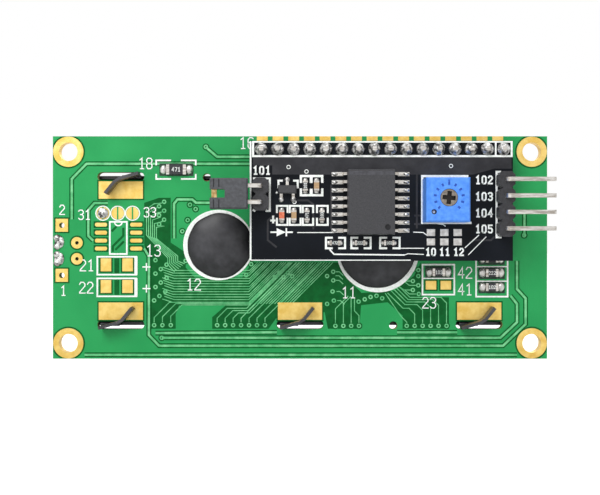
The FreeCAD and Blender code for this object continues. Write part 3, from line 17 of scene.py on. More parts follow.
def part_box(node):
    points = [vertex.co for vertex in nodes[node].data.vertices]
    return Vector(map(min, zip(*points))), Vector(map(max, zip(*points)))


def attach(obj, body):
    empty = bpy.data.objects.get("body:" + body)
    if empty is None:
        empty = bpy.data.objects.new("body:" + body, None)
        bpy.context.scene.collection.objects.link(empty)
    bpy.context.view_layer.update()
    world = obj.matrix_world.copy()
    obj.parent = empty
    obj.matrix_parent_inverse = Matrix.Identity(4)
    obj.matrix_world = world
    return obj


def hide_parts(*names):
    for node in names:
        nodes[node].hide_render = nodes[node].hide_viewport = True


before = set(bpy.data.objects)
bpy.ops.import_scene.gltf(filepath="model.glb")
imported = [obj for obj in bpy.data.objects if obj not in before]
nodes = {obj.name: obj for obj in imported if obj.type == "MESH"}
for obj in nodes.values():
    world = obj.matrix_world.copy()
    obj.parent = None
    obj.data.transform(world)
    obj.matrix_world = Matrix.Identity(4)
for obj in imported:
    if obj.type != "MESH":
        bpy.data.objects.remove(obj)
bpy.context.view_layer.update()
MM = 0.001

# %% [markdown]
# ## The camera
# The picture looks straight at the back of the module from about 150 mm. At that distance the
# near adapter board looks a little larger than the green board behind it, as it does in a
# product photograph. The lens is chosen so that the 80 mm board fills four fifths of the width.

# %% The camera
board_low, board_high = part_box("main_board")
BOARD_BACK = board_high[1]
SENSOR = 36.0
LENS = 55.6
DISTANCE = 150 * MM

camera_data = bpy.data.cameras.new("camera")
camera_data.sensor_width = SENSOR
camera_data.lens = LENS
camera_data.clip_start = 0.005
camera = bpy.data.objects.new("camera", camera_data)
camera.location = (0, BOARD_BACK + DISTANCE, 0)
camera.rotation_euler = (math.radians(90), 0, math.radians(180))
bpy.context.scene.collection.objects.link(camera)
bpy.context.scene.camera = camera
bpy.context.scene.view_settings.view_transform = "Standard"
print("width of the view at the board: %.1f mm" % (SENSOR / LENS * DISTANCE / MM))

# %% [markdown]
# ## Colours and nodes
# Colours are easiest to write as the hex codes of a paint program, but the renderer counts in
# linear light, so one function turns the first into the second. Another one adds a node together
# with its settings and links, which keeps each material readable as a short list of nodes.

# %% Helpers for colours and nodes
def linear(code):
    """The linear colour of an sRGB hex code such as "2DA55D"."""
    parts = [int(code[i:i + 2], 16) / 255 for i in (0, 2, 4)]
    curve = [p / 12.92 if p <= 0.04045 else ((p + 0.055) / 1.055) ** 2.4 for p in parts]
    return (*curve, 1.0)


def add_node(tree, kind, links=(), **settings):
    """Add a node. Links are (input, socket that feeds it). A setting is a property of the node,
    or an input where it starts with in_ and goes on with the input's name or number."""
    node = tree.nodes.new(kind)
    for key, setting in settings.items():
        if key.startswith("in_"):
            which = key[3:]
            socket = node.inputs[int(which) if which.isdigit() else which.replace("_", " ")]
            socket.default_value = setting
        else:
            setattr(node, key, setting)
    for key, source in links:
        tree.links.new(source, node.inputs[key])
    return node


print("linear value of a middle grey: %.3f" % linear("808080")[0])

# %% [markdown]
# ## Light, floor and background
# A board is pictured in a white tent: soft light from all sides, a little stronger from above, so
# that the parts keep small shadows below them. The world gives the even part of the light and
# wide lamps above, before and behind give the rest. The background is white for the camera and
# for reflections only, so it adds nothing to the light on the object.

# %% World, lamps and floor
world = bpy.data.worlds.new("white_tent")
bpy.context.scene.world = world
world.use_nodes = True
tree = world.node_tree
tree.nodes.clear()
path = add_node(tree, "ShaderNodeLightPath")
seen = add_node(tree, "ShaderNodeMath", [(0, path.outputs["Is Camera Ray"]),
                                         (1, path.outputs["Is Glossy Ray"])], operation="MAXIMUM")
seen = add_node(tree, "ShaderNodeMath",
                [(0, seen.outputs[0]), (1, path.outputs["Is Transmission Ray"])],
                operation="MAXIMUM")
tent = add_node(tree, "ShaderNodeBackground", in_Strength=0.56, in_Color=(1, 1, 1, 1))
white = add_node(tree, "ShaderNodeBackground", in_Strength=1.0, in_Color=(1, 1, 1, 1))
mix = add_node(tree, "ShaderNodeMixShader", [(0, seen.outputs[0]), (1, tent.outputs[0]),
                                             (2, white.outputs[0])])
add_node(tree, "ShaderNodeOutputWorld", [("Surface", mix.outputs[0])])


def soft_lamp(name, place, target, width, power):
    """A square lamp of the given width in metres, turned towards the target."""
    lamp = bpy.data.lights.new(name, "AREA")
    lamp.size = width
    lamp.energy = power
    thing = bpy.data.objects.new(name, lamp)
    thing.location = place
    thing.rotation_euler = (Vector(target) - Vector(place)).to_track_quat("-Z", "Y").to_euler()
    bpy.context.scene.collection.objects.link(thing)


soft_lamp("lamp_behind", (0.14, 0.30, 0.26), (0, 0, 0), 0.22, 1.15)
soft_lamp("lamp_before", (-0.14, -0.30, 0.26), (0, 0, 0), 0.22, 1.15)

FLOOR_HALF = 2.5
floor_z = board_low[2]
floor_mesh = bpy.data.meshes.new("floor")
floor_mesh.from_pydata([(FLOOR_HALF * x, FLOOR_HALF * y, floor_z)
                        for x, y in ((-1, -1), (1, -1), (1, 1), (-1, 1))], [], [(0, 1, 2, 3)])
floor = bpy.data.objects.new("floor", floor_mesh)
bpy.context.scene.collection.objects.link(floor)
paper = bpy.data.materials.new("white_paper_floor")
paper.use_nodes = True
tree = paper.node_tree
tree.nodes.clear()
path = add_node(tree, "ShaderNodeLightPath")
sheet = add_node(tree, "ShaderNodeBsdfDiffuse", in_Color=(0.86, 0.86, 0.86, 1))
glow = add_node(tree, "ShaderNodeEmission", [("Strength", path.outputs["Is Camera Ray"])],
                in_Color=(0.62, 0.62, 0.62, 1))
both = add_node(tree, "ShaderNodeAddShader", [(0, sheet.outputs[0]), (1, glow.outputs[0])])
add_node(tree, "ShaderNodeOutputMaterial", [("Surface", both.outputs[0])])
floor_mesh.materials.append(paper)
print("floor at Z = %.1f mm" % (floor_z / MM))
# %% [markdown]
# ## Finishes
# Each finish starts from what the real one is and how its surface was made. Nearly all of them
# are one principled shader whose colour wanders between two tones in small patches, so one
# function makes that: a noise measured in millimetres drives the colour and, where it is asked
# for, the roughness and a fine relief. Object coordinates are in metres, so patches of 1 mm need
# a scale of 1000.

# %% Helpers for a finish
dressed = set()


def inside(material):
    """The node tree and the shader of a finish."""
    return material.node_tree, material.node_tree.nodes["Principled BSDF"]


def new_finish(name, colour, roughness, metallic=0.0, **constants):
    """A material with one principled shader; returns the material, its tree and the shader."""
    material = bpy.data.materials.new(name)
    material.use_nodes = True
    tree, shader = inside(material)
    shader.inputs["Base Color"].default_value = linear(colour)
    shader.inputs["Roughness"].default_value = roughness
    shader.inputs["Metallic"].default_value = metallic
    for key, constant in constants.items():
        shader.inputs[key.replace("_", " ")].default_value = constant
    return material, tree, shader


def pattern(tree, size_mm, detail=3.0, uneven=0.55, stretch=(1, 1, 1)):
    """Noise with features of about size_mm, fixed to the object."""
    place = add_node(tree, "ShaderNodeTexCoord")
    stretched = add_node(tree, "ShaderNodeMapping", [("Vector", place.outputs["Object"])],
                         in_Scale=stretch)
    cloud = add_node(tree, "ShaderNodeTexNoise", [("Vector", stretched.outputs[0])],
                     in_Scale=1 / (size_mm * MM), in_Detail=detail, in_Roughness=uneven)
    return cloud.outputs["Fac"]


def mottled(name, dark, light, size_mm, roughness, metallic=0.0, span=(0.35, 0.65), detail=3.0,
            uneven=0.55, stretch=(1, 1, 1), fine=None, relief_mm=0.0, **constants):
    """A finish whose colour goes from dark to light in patches of about size_mm.

    span is the stretch of the noise in which the colour changes. A pair as roughness holds the
    one where the noise is low and the one where it is high. fine is the size in mm and the
    detail of a second noise, which then drives the roughness and the relief.
    """
    varied = isinstance(roughness, tuple)
    material, tree, shader = new_finish(name, light, sum(roughness) / 2 if varied else roughness,
                                        metallic, **constants)
    patches = pattern(tree, size_mm, detail, uneven, stretch)
    ramp = add_node(tree, "ShaderNodeValToRGB", [("Fac", patches)])
    for stop, position, colour in zip(ramp.color_ramp.elements, span, (dark, light)):
        stop.position, stop.color = position, linear(colour)
    tree.links.new(ramp.outputs["Color"], shader.inputs["Base Color"])
    grain = pattern(tree, *fine) if fine else patches
    if varied:
        rough = add_node(tree, "ShaderNodeMapRange", [("Value", grain)],
                         in_3=roughness[0], in_4=roughness[1])
        tree.links.new(rough.outputs["Result"], shader.inputs["Roughness"])
    if relief_mm:
        bump = add_node(tree, "ShaderNodeBump", [("Height", grain)], in_Strength=1.0,
                        in_Distance=relief_mm * MM)
        tree.links.new(bump.outputs["Normal"], shader.inputs["Normal"])
    return material


def paint_over(material, mask, code="", source=None):
    """Lay one more colour, a hex code or a socket, over a finish where the mask is 1."""
    tree, shader = inside(material)
    below = shader.inputs["Base Color"].links[0].from_socket
    mix = add_node(tree, "ShaderNodeMix", [("Factor", mask), (6, below)], data_type="RGBA")
    if source:
        tree.links.new(source, mix.inputs[7])
    else:
        mix.inputs[7].default_value = linear(code)
    tree.links.new(mix.outputs[2], shader.inputs["Base Color"])


def wear(*names_and_material):
    """Give a finish, the last value, to the named solids."""
    *names, material = names_and_material
    for name in names:
        nodes[name].data.materials.clear()
        nodes[name].data.materials.append(material)
    dressed.update(names)
    print(material.name, "on", ", ".join(names))


# %% [markdown]
# ### Green solder mask on glass-epoxy laminate
# Photo-imaged solder mask is a thin, glossy, slightly uneven lacquer. Over copper it looks lighter
# than over bare laminate, and the glass weave of about 0.5 mm shows faintly through it. The cut
# edge of the board isn't lacquered: it shows the pale, dry laminate. A cut face points sideways,
# so the material finds it by its normal.

# %% Finish of the green board
WEAVE_MM = 0.5
DRY_EDGE = 0.85


def lacquered_board(name, deep, light, edge_deep, edge_light, gloss, shine):
    """Solder mask on both faces and bare laminate on the cut edges."""
    material = mottled(name, deep, light, 9.0, gloss, span=(0.3, 0.7), detail=2.0, IOR=1.5,
                       Specular_IOR_Level=shine)
    tree, shader = inside(material)
    surface = add_node(tree, "ShaderNodeNewGeometry")
    way = add_node(tree, "ShaderNodeSeparateXYZ", [("Vector", surface.outputs["True Normal"])])
    flatness = add_node(tree, "ShaderNodeMath", [(0, way.outputs["Y"])], operation="ABSOLUTE")
    cut = add_node(tree, "ShaderNodeMath", [(0, flatness.outputs[0])], operation="LESS_THAN",
                   in_1=0.5)
    fibres = add_node(tree, "ShaderNodeMapRange",
                      [("Value", pattern(tree, 0.35, detail=4.0, stretch=(1, 1, 4)))],
                      in_1=0.35, in_2=0.65)
    laminate = add_node(tree, "ShaderNodeMix", [("Factor", fibres.outputs["Result"])],
                        data_type="RGBA", in_6=linear(edge_deep), in_7=linear(edge_light))
    paint_over(material, cut.outputs[0], source=laminate.outputs[2])
    rough = add_node(tree, "ShaderNodeMix", [("Factor", cut.outputs[0])], data_type="FLOAT",
                     in_2=gloss, in_3=DRY_EDGE)
    tree.links.new(rough.outputs[0], shader.inputs["Roughness"])
    place = add_node(tree, "ShaderNodeTexCoord")
    warp, weft = (add_node(tree, "ShaderNodeTexWave", [("Vector", place.outputs["Object"])],
                           in_Scale=1 / (WEAVE_MM * MM) / (2 * math.pi), in_Distortion=0.6,
                           bands_direction=run) for run in "XZ")
    weave = add_node(tree, "ShaderNodeMath", [(0, warp.outputs["Fac"]), (1, weft.outputs["Fac"])],
                     operation="MULTIPLY")
    bump = add_node(tree, "ShaderNodeBump", [("Height", weave.outputs[0])], in_Strength=1.0,
                    in_Distance=0.004 * MM)
    tree.links.new(bump.outputs["Normal"], shader.inputs["Normal"])
    return material


wear("main_board", lacquered_board("green_solder_mask", "1F9450", "2BA25A", "7E8A4E", "A9A86C",
                                   0.34, 0.22))

# %% [markdown]
# The adapter's lacquer is black. Its copper shows only as faint relief, and its edge is a darker,
# brownish laminate.

# %% Finish of the black board
wear("adapter_board", lacquered_board("black_solder_mask", "0B0E13", "161A21", "4A463A", "6B6450",
                                      0.36, 0.1))

# %% [markdown]
# ### Gold plating
# The bare copper is nickel plated with a thin layer of immersion gold. That gold is even and
# rather matt, because it copies the fine grain of the copper foil below it.

# %% Finish of the gold pads
gold = mottled("immersion_gold", "E3BC5C", "F3D480", 1.4, (0.32, 0.52), 0.75, fine=(0.25, 4.0),
               relief_mm=0.004)
wear("corner_rings", "tab_landings", "supply_pads", "test_pads", "header_pads_back",
     "unused_chip_pads", "unused_capacitor_pads", "link_pads", gold)

# %% [markdown]
# ### Solder
# Hand-soldered joints freeze with a rippled skin, bright where it is smooth and dull grey where
# flux burned on it. One noise sets the tone, the gloss and the ripples, so that dull patches are
# also the rough ones.

# %% Finish of the solder joints
solder = mottled("frozen_solder", "4A4846", "E9E8E6", 0.55, (0.45, 0.16), 0.9, span=(0.38, 0.6),
                 detail=4.0, uneven=0.6, relief_mm=0.10)
wear("front_solder_joints", "adapter_solder_joints", "tail_solder_joints",
     "backlight_solder_joints", "link_solder", solder)

# %% [markdown]
# ### Tinned pins, leads and lands
# Pins are drawn from brass wire and tin plated, with fine lines along the drawing direction. The
# lands under soldered parts carry a thin even film of solder, brighter and smoother than a joint.
# The contact inside the shorting cap is a bare bronze spring.

# %% Finish of the pins, leads and lands
tin_plate = mottled("tin_plate", "A79F95", "E6E3DE", 0.22, 0.28, 0.95, stretch=(0.12, 1, 1),
                    relief_mm=0.01)
wear("header_pins", "serial_header_pins", "jumper_header_pins", "trimmer_legs",
     "expander_chip_leads", "transistor_leads", "main_board_resistor_ends",
     "adapter_resistor_ends", "adapter_capacitor_ends", "power_diode_ends", tin_plate)
tinned = mottled("tinned_land", "B3B0AC", "E6E4E1", 0.7, 0.34, 0.85, span=(0.3, 0.7), detail=5.0,
                 relief_mm=0.012)
wear("expander_chip_pads", "address_pads", "header_pads_front", tinned)
wear("jumper_contact", mottled("spring_bronze", "A98754", "DDC08A", 0.5, 0.3, 1.0))

# %% [markdown]
# ### Blackened steel of the folded frame
# The frame is cut and folded from steel strip and then coated dark grey. The coat is thin: it is
# faintly mottled, and the steel shines a little through it. The creases of the pressed beads and
# folds get painted shade. Ambient occlusion measures how closed in a point is, so it finds the
# creases, and there the colour is painted darker.

# %% Finish of the frame
CREASE_SHADE_MM = 0.7
black_steel = mottled("blackened_steel", "404043", "535256", 2.2, (0.36, 0.56), 0.55,
                      span=(0.3, 0.72), detail=5.0, uneven=0.6, relief_mm=0.01)
tree = black_steel.node_tree
# Painted shade: the more closed in a point of the frame is, the darker it is painted.
opened = add_node(tree, "ShaderNodeAmbientOcclusion", samples=8, in_Distance=CREASE_SHADE_MM * MM)
painted_crease_shade = add_node(tree, "ShaderNodeMapRange", [("Value", opened.outputs["AO"])],
                  in_1=0.45, in_2=0.85, in_3=1.0, in_4=0.0)
paint_over(black_steel, painted_crease_shade.outputs["Result"], "1A191B")
wear("bezel", black_steel)

# %% [markdown]
# ### The display
# The display is a glass cell between two polarising films. Unlit, its twisted crystal lets only
# deep blue through, so the front film reads as glossy dark blue, a little lighter towards one
# end. The real depth of the cell is kept by the glass plates behind it, which only show at their
# edges.

# %% Finish of the display
LIGHTER_FROM, DARKER_FROM = -0.033, -0.004
blue_film, tree, shader = new_finish("blue_polarising_film", "17157C", 0.16, IOR=1.49,
                                     Specular_IOR_Level=0.07)
place = add_node(tree, "ShaderNodeTexCoord")
across = add_node(tree, "ShaderNodeSeparateXYZ", [("Vector", place.outputs["Object"])])
shift = add_node(tree, "ShaderNodeMapRange", [("Value", across.outputs["X"])],
                 in_1=LIGHTER_FROM, in_2=DARKER_FROM)
blue = add_node(tree, "ShaderNodeMix", [("Factor", shift.outputs["Result"])], data_type="RGBA",
                in_6=linear("19176E"), in_7=linear("0A0962"))
tree.links.new(blue.outputs[2], shader.inputs["Base Color"])
waves = add_node(tree, "ShaderNodeBump", [("Height", pattern(tree, 6.0, detail=1.0))],
                 in_Strength=1.0, in_Distance=0.01 * MM)
tree.links.new(waves.outputs["Normal"], shader.inputs["Normal"])
wear("front_polariser", blue_film)
wear("front_glass", "rear_glass",
     mottled("display_glass", "3E5F66", "5C8084", 5.0, 0.08, IOR=1.52))
wear("rear_polariser", mottled("grey_polarising_film", "4C5056", "62666B", 3.0, 0.35))

# %% [markdown]
# ### The backlight and the rubber contacts
# The backlight is a moulded white frame with a clear light guide, and two pink silicone strips
# carry the signals from the board to the glass. Both are matt; the silicone is softer in tone.

# %% Finish of the backlight and the contact strips
wear("backlight_frame", "diffuser_film",
     mottled("white_moulded_plastic", "E2E2E5", "F2F2F3", 2.5, 0.45, fine=(0.12, 5.0),
             relief_mm=0.006, IOR=1.5, Subsurface_Weight=0.1, Subsurface_Scale=0.001))
wear("light_guide", mottled("clear_acrylic", "CFDBE2", "E7EEF1", 2.0, 0.1, IOR=1.49))
wear("backlight_diodes", mottled("diode_resin", "E0D68A", "F2EDC2", 0.6, 0.3))
wear("upper_contact_strip", "lower_contact_strip",
     mottled("pink_silicone_rubber", "D67F7B", "F2A9A2", 0.5, 0.6, detail=4.0, fine=(0.2, 4.0),
             relief_mm=0.02, IOR=1.43))

# %% [markdown]
# ### Epoxy domes and their white rings
# The chips on the green board are bare dies under a drop of black epoxy. The drop spreads to a
# white ink ring and cures with a satin skin. Its flat middle gets a painted highlight and its
# steep rim painted shade; the slope of the surface tells the two apart.

# %% Finish of the domes
STEEP, FLAT = 0.78, 0.985
epoxy = mottled("black_epoxy", "27272A", "434347", 1.8, (0.34, 0.5), span=(0.3, 0.75), IOR=1.55,
                Specular_IOR_Level=0.3)
tree, shader = inside(epoxy)
surface = add_node(tree, "ShaderNodeNewGeometry")
way = add_node(tree, "ShaderNodeSeparateXYZ", [("Vector", surface.outputs["Normal"])])
# Painted shade and highlight: the steep rim of each dome is painted darker than its flat middle.
rim = add_node(tree, "ShaderNodeMapRange", [("Value", way.outputs["Y"])], in_1=STEEP, in_2=FLAT,
               in_3=1.0, in_4=0.0)
paint_over(epoxy, rim.outputs["Result"], "0B0B0D")
pores = add_node(tree, "ShaderNodeBump", [("Height", pattern(tree, 0.12, detail=5.0))],
                 in_Strength=1.0, in_Distance=0.012 * MM)
tree.links.new(pores.outputs["Normal"], shader.inputs["Normal"])
wear("controller_dome", "driver_dome", epoxy)

white_ink = mottled("white_legend_ink", "DDE8DF", "FAFBFA", 0.4, 0.6, span=(0.25, 0.6), detail=5.0)
wear("dome_rings", white_ink)

# %% [markdown]
# ### Moulded plastics and ceramics
# The header strips and the shorting cap are glass-filled nylon or polyester, the chip is filled
# epoxy, the trimmer is blue polyester with a nickel-plated brass rotor, resistors are glazed
# alumina and capacitors are bare brown ceramic. Each gets a grain of its own size.

# %% Finish of the moulded and ceramic parts
moulded = {}
for name, dark, light, roughness, metallic, grain_mm, relief_mm, solids in (
    ("black_glass_filled_nylon", "17171A", "303035", 0.42, 0.0, 0.35, 0.02,
     ("header_strip", "serial_header_strip", "jumper_header_strip")),
    ("dark_grey_polyester", "37383C", "4D4F54", 0.45, 0.0, 0.5, 0.02, ("jumper_cap",)),
    ("moulded_chip_resin", "2A2A2D", "3C3C40", 0.5, 0.0, 0.18, 0.012,
     ("expander_chip", "transistor")),
    ("blue_moulded_polyester", "3F82E8", "5C9DFB", 0.35, 0.0, 0.6, 0.008, ("trimmer_housing",)),
    ("dull_nickel_brass", "6A625A", "9A9187", 0.38, 0.7, 0.3, 0.02, ("trimmer_rotor",)),
    ("black_resistor_glaze", "1B1B1F", "35353A", 0.25, 0.0, 0.3, 0.006,
     ("main_board_resistors", "adapter_resistors")),
    ("brown_capacitor_ceramic", "9A7A55", "C0A078", 0.45, 0.0, 0.2, 0.008,
     ("adapter_capacitors",)),
    ("red_diode_lens", "C8553B", "E88A63", 0.2, 0.0, 0.3, 0.006, ("power_diode",)),
):
    moulded[name] = mottled(name, dark, light, grain_mm, roughness, metallic, span=(0.3, 0.7),
                            detail=5.0, relief_mm=relief_mm)
    wear(*solids, moulded[name])
print("solids without a finish:", sorted(set(nodes) - dressed))


# %% [markdown]
# ## Copper tracks and printed marks
# Tracks are etched copper under the lacquer, and legends are white ink on it. Both are far
# thinner than anything else here, so flat ribbons are enough: each is a strip of faces laid a
# few hundredths of a millimetre above its face, in the order in which the real layers are built.
# A ribbon follows a line of points with mitred corners, so a bend keeps its width.

# %% Ribbons, rings and patches
DARK_LEVEL, TRACK_LEVEL, INK_LEVEL = 0.004, 0.018, 0.034
HAIR, HAIRS = 0.0002, 60
SHARPEST = 0.35
ADAPTER_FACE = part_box("adapter_board")[1][1] / MM
MAIN_FACE = BOARD_BACK / MM


def centre_of(thing):
    """The middle, (X, Z) in mm, of a solid or of a box given by its two corners."""
    low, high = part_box(thing) if isinstance(thing, str) else thing
    return (low[0] + high[0]) / 2 / MM, (low[2] + high[2]) / 2 / MM


def circle(parts):
    """Cosine and sine of each step of a full turn."""
    turns = [2 * math.pi * i / parts for i in range(parts)]
    return [(math.cos(turn), math.sin(turn)) for turn in turns]


def add_piece(name, bm, material, body="module"):
    """Turn a mesh under work into a piece that rides on a body."""
    mesh = bpy.data.meshes.new(name)
    bm.to_mesh(mesh)
    bm.free()
    mesh.materials.append(material)
    thing = bpy.data.objects.new(name, mesh)
    bpy.context.scene.collection.objects.link(thing)
    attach(thing, body)
    print(name, "faces:", len(mesh.polygons))
    return thing


class Sheet:
    """Flat marks on one face. Points are (X, Z) in mm; way is +1 for a face that looks to +Y."""

    def __init__(self, face, way=1):
        self.face, self.way, self.bm, self.marks = face, way, bmesh.new(), 0

    def lifted(self, level):
        """The level of the next mark, a hair above the last one, so that no two coincide."""
        self.marks += 1
        return level + self.marks % HAIRS * HAIR

    def polygon(self, corners, level):
        """Add one flat shape, given by its corners."""
        self.patch(corners, self.lifted(level))

    def patch(self, corners, level):
        """Add one face at exactly this level, turned to the side that the marks face."""
        y = (self.face + self.way * level) * MM
        points = [self.bm.verts.new((x * MM, y, z * MM)) for x, z in corners]
        face = self.bm.faces.new(points)
        face.normal_update()
        if face.normal.y * self.way < 0:
            face.normal_flip()

    def ribbon(self, line, width, level, closed=False, ends=0.0):
        """Add a strip along a line of points, longer by ends at both ends."""
        level = self.lifted(level)
        points = [Vector(p) for p in line]
        count = len(points)
        if not closed and ends:
            points[0] = points[0] - (points[1] - points[0]).normalized() * ends
            points[-1] = points[-1] + (points[-1] - points[-2]).normalized() * ends
        sides = []
        for i in range(count):
            before = (points[i] - points[i - 1]) if i or closed else None
            after = (points[(i + 1) % count] - points[i]) if i < count - 1 or closed else None
            first = (before or after).normalized()
            second = (after or before).normalized()
            middle = (first + second).normalized()
            across = Vector((-middle.y, middle.x))
            stretch = 1 / max(SHARPEST, middle.dot(first))
            sides.append((points[i] + across * width / 2 * stretch,
                          points[i] - across * width / 2 * stretch))
        for i in range(count if closed else count - 1):
            (a, b), (c, d) = sides[i], sides[(i + 1) % count]
            self.patch([a, c, d, b], level)

    def ring(self, centre, outer, inner, level, parts=20):
        """Add a ring given by its radii, or a disc where the inner one is 0."""
        level = self.lifted(level)
        turn = circle(parts)
        x, z = centre
        for i in range(parts):
            (c, s), (d, t) = turn[i], turn[(i + 1) % parts]
            if inner:
                self.patch([(x + c * outer, z + s * outer), (x + d * outer, z + t * outer),
                            (x + d * inner, z + t * inner), (x + c * inner, z + s * inner)], level)
        if not inner:
            self.patch([(x + c * outer, z + s * outer) for c, s in turn], level)

    def frame(self, centre, width, height, line, level, gap_x=0.0, gap_z=0.0):
        """A rectangle's outline, or four corner brackets where a gap is given."""
        (x, z), w, h = centre, width / 2, height / 2
        if not gap_x and not gap_z:
            self.ribbon([(x - w, z - h), (x + w, z - h), (x + w, z + h), (x - w, z + h)], line,
                        level, closed=True)
            return
        for a in (-1, 1):
            for b in (-1, 1):
                self.ribbon([(x + a * gap_x / 2, z + b * h), (x + a * w, z + b * h),
                             (x + a * w, z + b * gap_z / 2)], line, level)

    def finish(self, name, material, body="module"):
        """Turn all the marks into one piece."""
        add_piece(name, self.bm, material, body)


print("flat marks go on the faces at Y = %.2f and %.2f mm" % (MAIN_FACE, ADAPTER_FACE))

# %% [markdown]
# ### Numerals
# Legends on a board are plotted with a round pen, so each numeral is a line of points on a small
# grid, two units wide and four high, drawn with a ribbon. Only plain numbers and signs are used.

# %% The pen numerals
NUMERALS = {
    "0": [[(0.5, 0), (0, 0.7), (0, 3.3), (0.5, 4), (1.5, 4), (2, 3.3), (2, 0.7), (1.5, 0),
           (0.5, 0)]],
    "1": [[(0.3, 3.3), (1.1, 4), (1.1, 0)], [(0.4, 0), (1.8, 0)]],
    "2": [[(0, 3.2), (0.5, 4), (1.5, 4), (2, 3.3), (2, 2.6), (0, 0.3), (0, 0), (2.1, 0)]],
    "3": [[(0, 3.5), (0.5, 4), (1.5, 4), (2, 3.4), (2, 2.7), (1.4, 2.1), (0.8, 2.1)],
          [(1.4, 2.1), (2, 1.5), (2, 0.6), (1.5, 0), (0.5, 0), (0, 0.5)]],
    "4": [[(1.5, 0), (1.5, 4), (0, 1.3), (2.1, 1.3)]],
    "5": [[(2, 4), (0.1, 4), (0.1, 2.3), (1.4, 2.4), (2, 1.8), (2, 0.6), (1.5, 0), (0.5, 0),
           (0, 0.5)]],
    "6": [[(1.9, 3.6), (1.5, 4), (0.6, 4), (0, 3.2), (0, 0.7), (0.5, 0), (1.5, 0), (2, 0.6),
           (2, 1.7), (1.5, 2.3), (0.5, 2.3), (0, 1.7)]],
    "7": [[(0, 4), (2, 4), (2, 3.6), (0.8, 0)]],
    "8": [[(0.5, 2.1), (0, 2.7), (0, 3.4), (0.5, 4), (1.5, 4), (2, 3.4), (2, 2.7), (1.5, 2.1),
           (0.5, 2.1), (0, 1.5), (0, 0.6), (0.5, 0), (1.5, 0), (2, 0.6), (2, 1.5), (1.5, 2.1)]],
    "9": [[(0.1, 0.4), (0.5, 0), (1.4, 0), (2, 0.8), (2, 3.3), (1.5, 4), (0.5, 4), (0, 3.4),
           (0, 2.4), (0.5, 1.8), (1.5, 1.8), (2, 2.4)]],
    "+": [[(0, 2), (2.4, 2)], [(1.2, 0.8), (1.2, 3.2)]],
    "-": [[(0, 2), (2, 2)]],
}


def plot(sheet, text, centre, height, pen, turn=0, step=1.45):
    """Plot numbers, centred, as read by someone who looks at that face; turn in quarter turns."""
    unit = height / 4
    width = (len(text) - 1) * step * 2 * unit + 2 * unit
    right = -sheet.way
    for place, sign in enumerate(text):
        for line in NUMERALS[sign]:
            points = []
            for a, b in line:
                u = a * unit + place * step * 2 * unit - width / 2
                v = b * unit - height / 2
                for _ in range(turn):
                    u, v = -v, u
                points.append((centre[0] + right * u, centre[1] + v))
            sheet.ribbon(points, pen, INK_LEVEL, ends=pen / 3)


print("signs that the pen can draw:", " ".join(NUMERALS))

# %% [markdown]
# ### Tracks on the back of the green board
# The copper was drawn on a fine grid, 37 steps to the millimetre, counted to the right and down
# from the corner of each half's drawing. Between copper areas the lacquer lies on bare laminate
# and looks darker, so a wide dark ribbon goes under each lighter track.

# %% Finish of the tracks
GRID = 0.026845
LEFT_CORNER, RIGHT_CORNER = (41.323, 19.055), (0.850, 19.055)


def left_part(points):
    """Drawing steps of the left half, turned to (X, Z) in mm."""
    return [(LEFT_CORNER[0] - u * GRID, LEFT_CORNER[1] - v * GRID) for u, v in points]


def right_part(points):
    """Drawing steps of the right half, turned to (X, Z) in mm."""
    return [(RIGHT_CORNER[0] - u * GRID, RIGHT_CORNER[1] - v * GRID) for u, v in points]


def lacquer_tone(name, dark, light, gloss, size=1.2, shine=0.22):
    """Lacquer of one tone, over laminate or over copper."""
    return mottled(name, dark, light, size, gloss, fine=(0.3, 3.0), relief_mm=0.003, IOR=1.5,
                   Specular_IOR_Level=shine)


mask_over_laminate = lacquer_tone("green_lacquer_over_laminate", "035422", "07632B", 0.36,
                                  shine=0.12)
mask_over_track = lacquer_tone("green_lacquer_over_track", "55B574", "80D296", 0.3)
print("steps of the drawing to the millimetre: %.0f" % (1 / GRID))

# %% [markdown]
# The wide tracks carry power and the signals of the header. Each one is a line of grid points,
# laid twice: first as a dark gap of 0.8 mm, then as the lighter track in its middle.

# %% Wide tracks and their dark gaps
gaps, tracks = Sheet(MAIN_FACE), Sheet(MAIN_FACE)
TRACK_WIDE, TRACK_FINE, GAP = 0.36, 0.13, 0.8

wide = [
    left_part([(1245, 205), (252, 205), (163, 297), (163, 540)]),
    left_part([(1245, 163), (1040, 163), (972, 105)]),
    left_part([(380, 442), (300, 442), (263, 484), (263, 640), (292, 668)]),
    left_part([(600, 715), (628, 762), (628, 1238), (690, 1302), (1250, 1302)]),
    left_part([(706, 1254), (1460, 1254), (1530, 1254)]),
    left_part([(668, 1226), (1400, 1221)]),
    left_part([(240, 1357), (1568, 1357)]),
    left_part([(780, 655), (780, 445), (800, 420), (890, 420), (912, 440), (1000, 440)]),
    right_part([(0, 1357), (1340, 1357)]),
    right_part([(-320, 1302), (1256, 1302), (1392, 1172), (1392, 1016), (1340, 960), (1340, 790)]),
    right_part([(-40, 1254), (1240, 1254), (1340, 1160), (1340, 1050), (1300, 1000)]),
    right_part([(617, 1221), (980, 1221)]),
    right_part([(1385, 640), (1385, 500)]),
]
for line in wide:
    gaps.ribbon(line, GAP, DARK_LEVEL)
    tracks.ribbon(line, TRACK_WIDE, TRACK_LEVEL)
print("wide tracks:", len(wide))

# %% [markdown]
# The fine tracks run in bundles from the domes to rows of small through holes. The laminate
# shows dark between them, so each bundle lies on one dark patch.

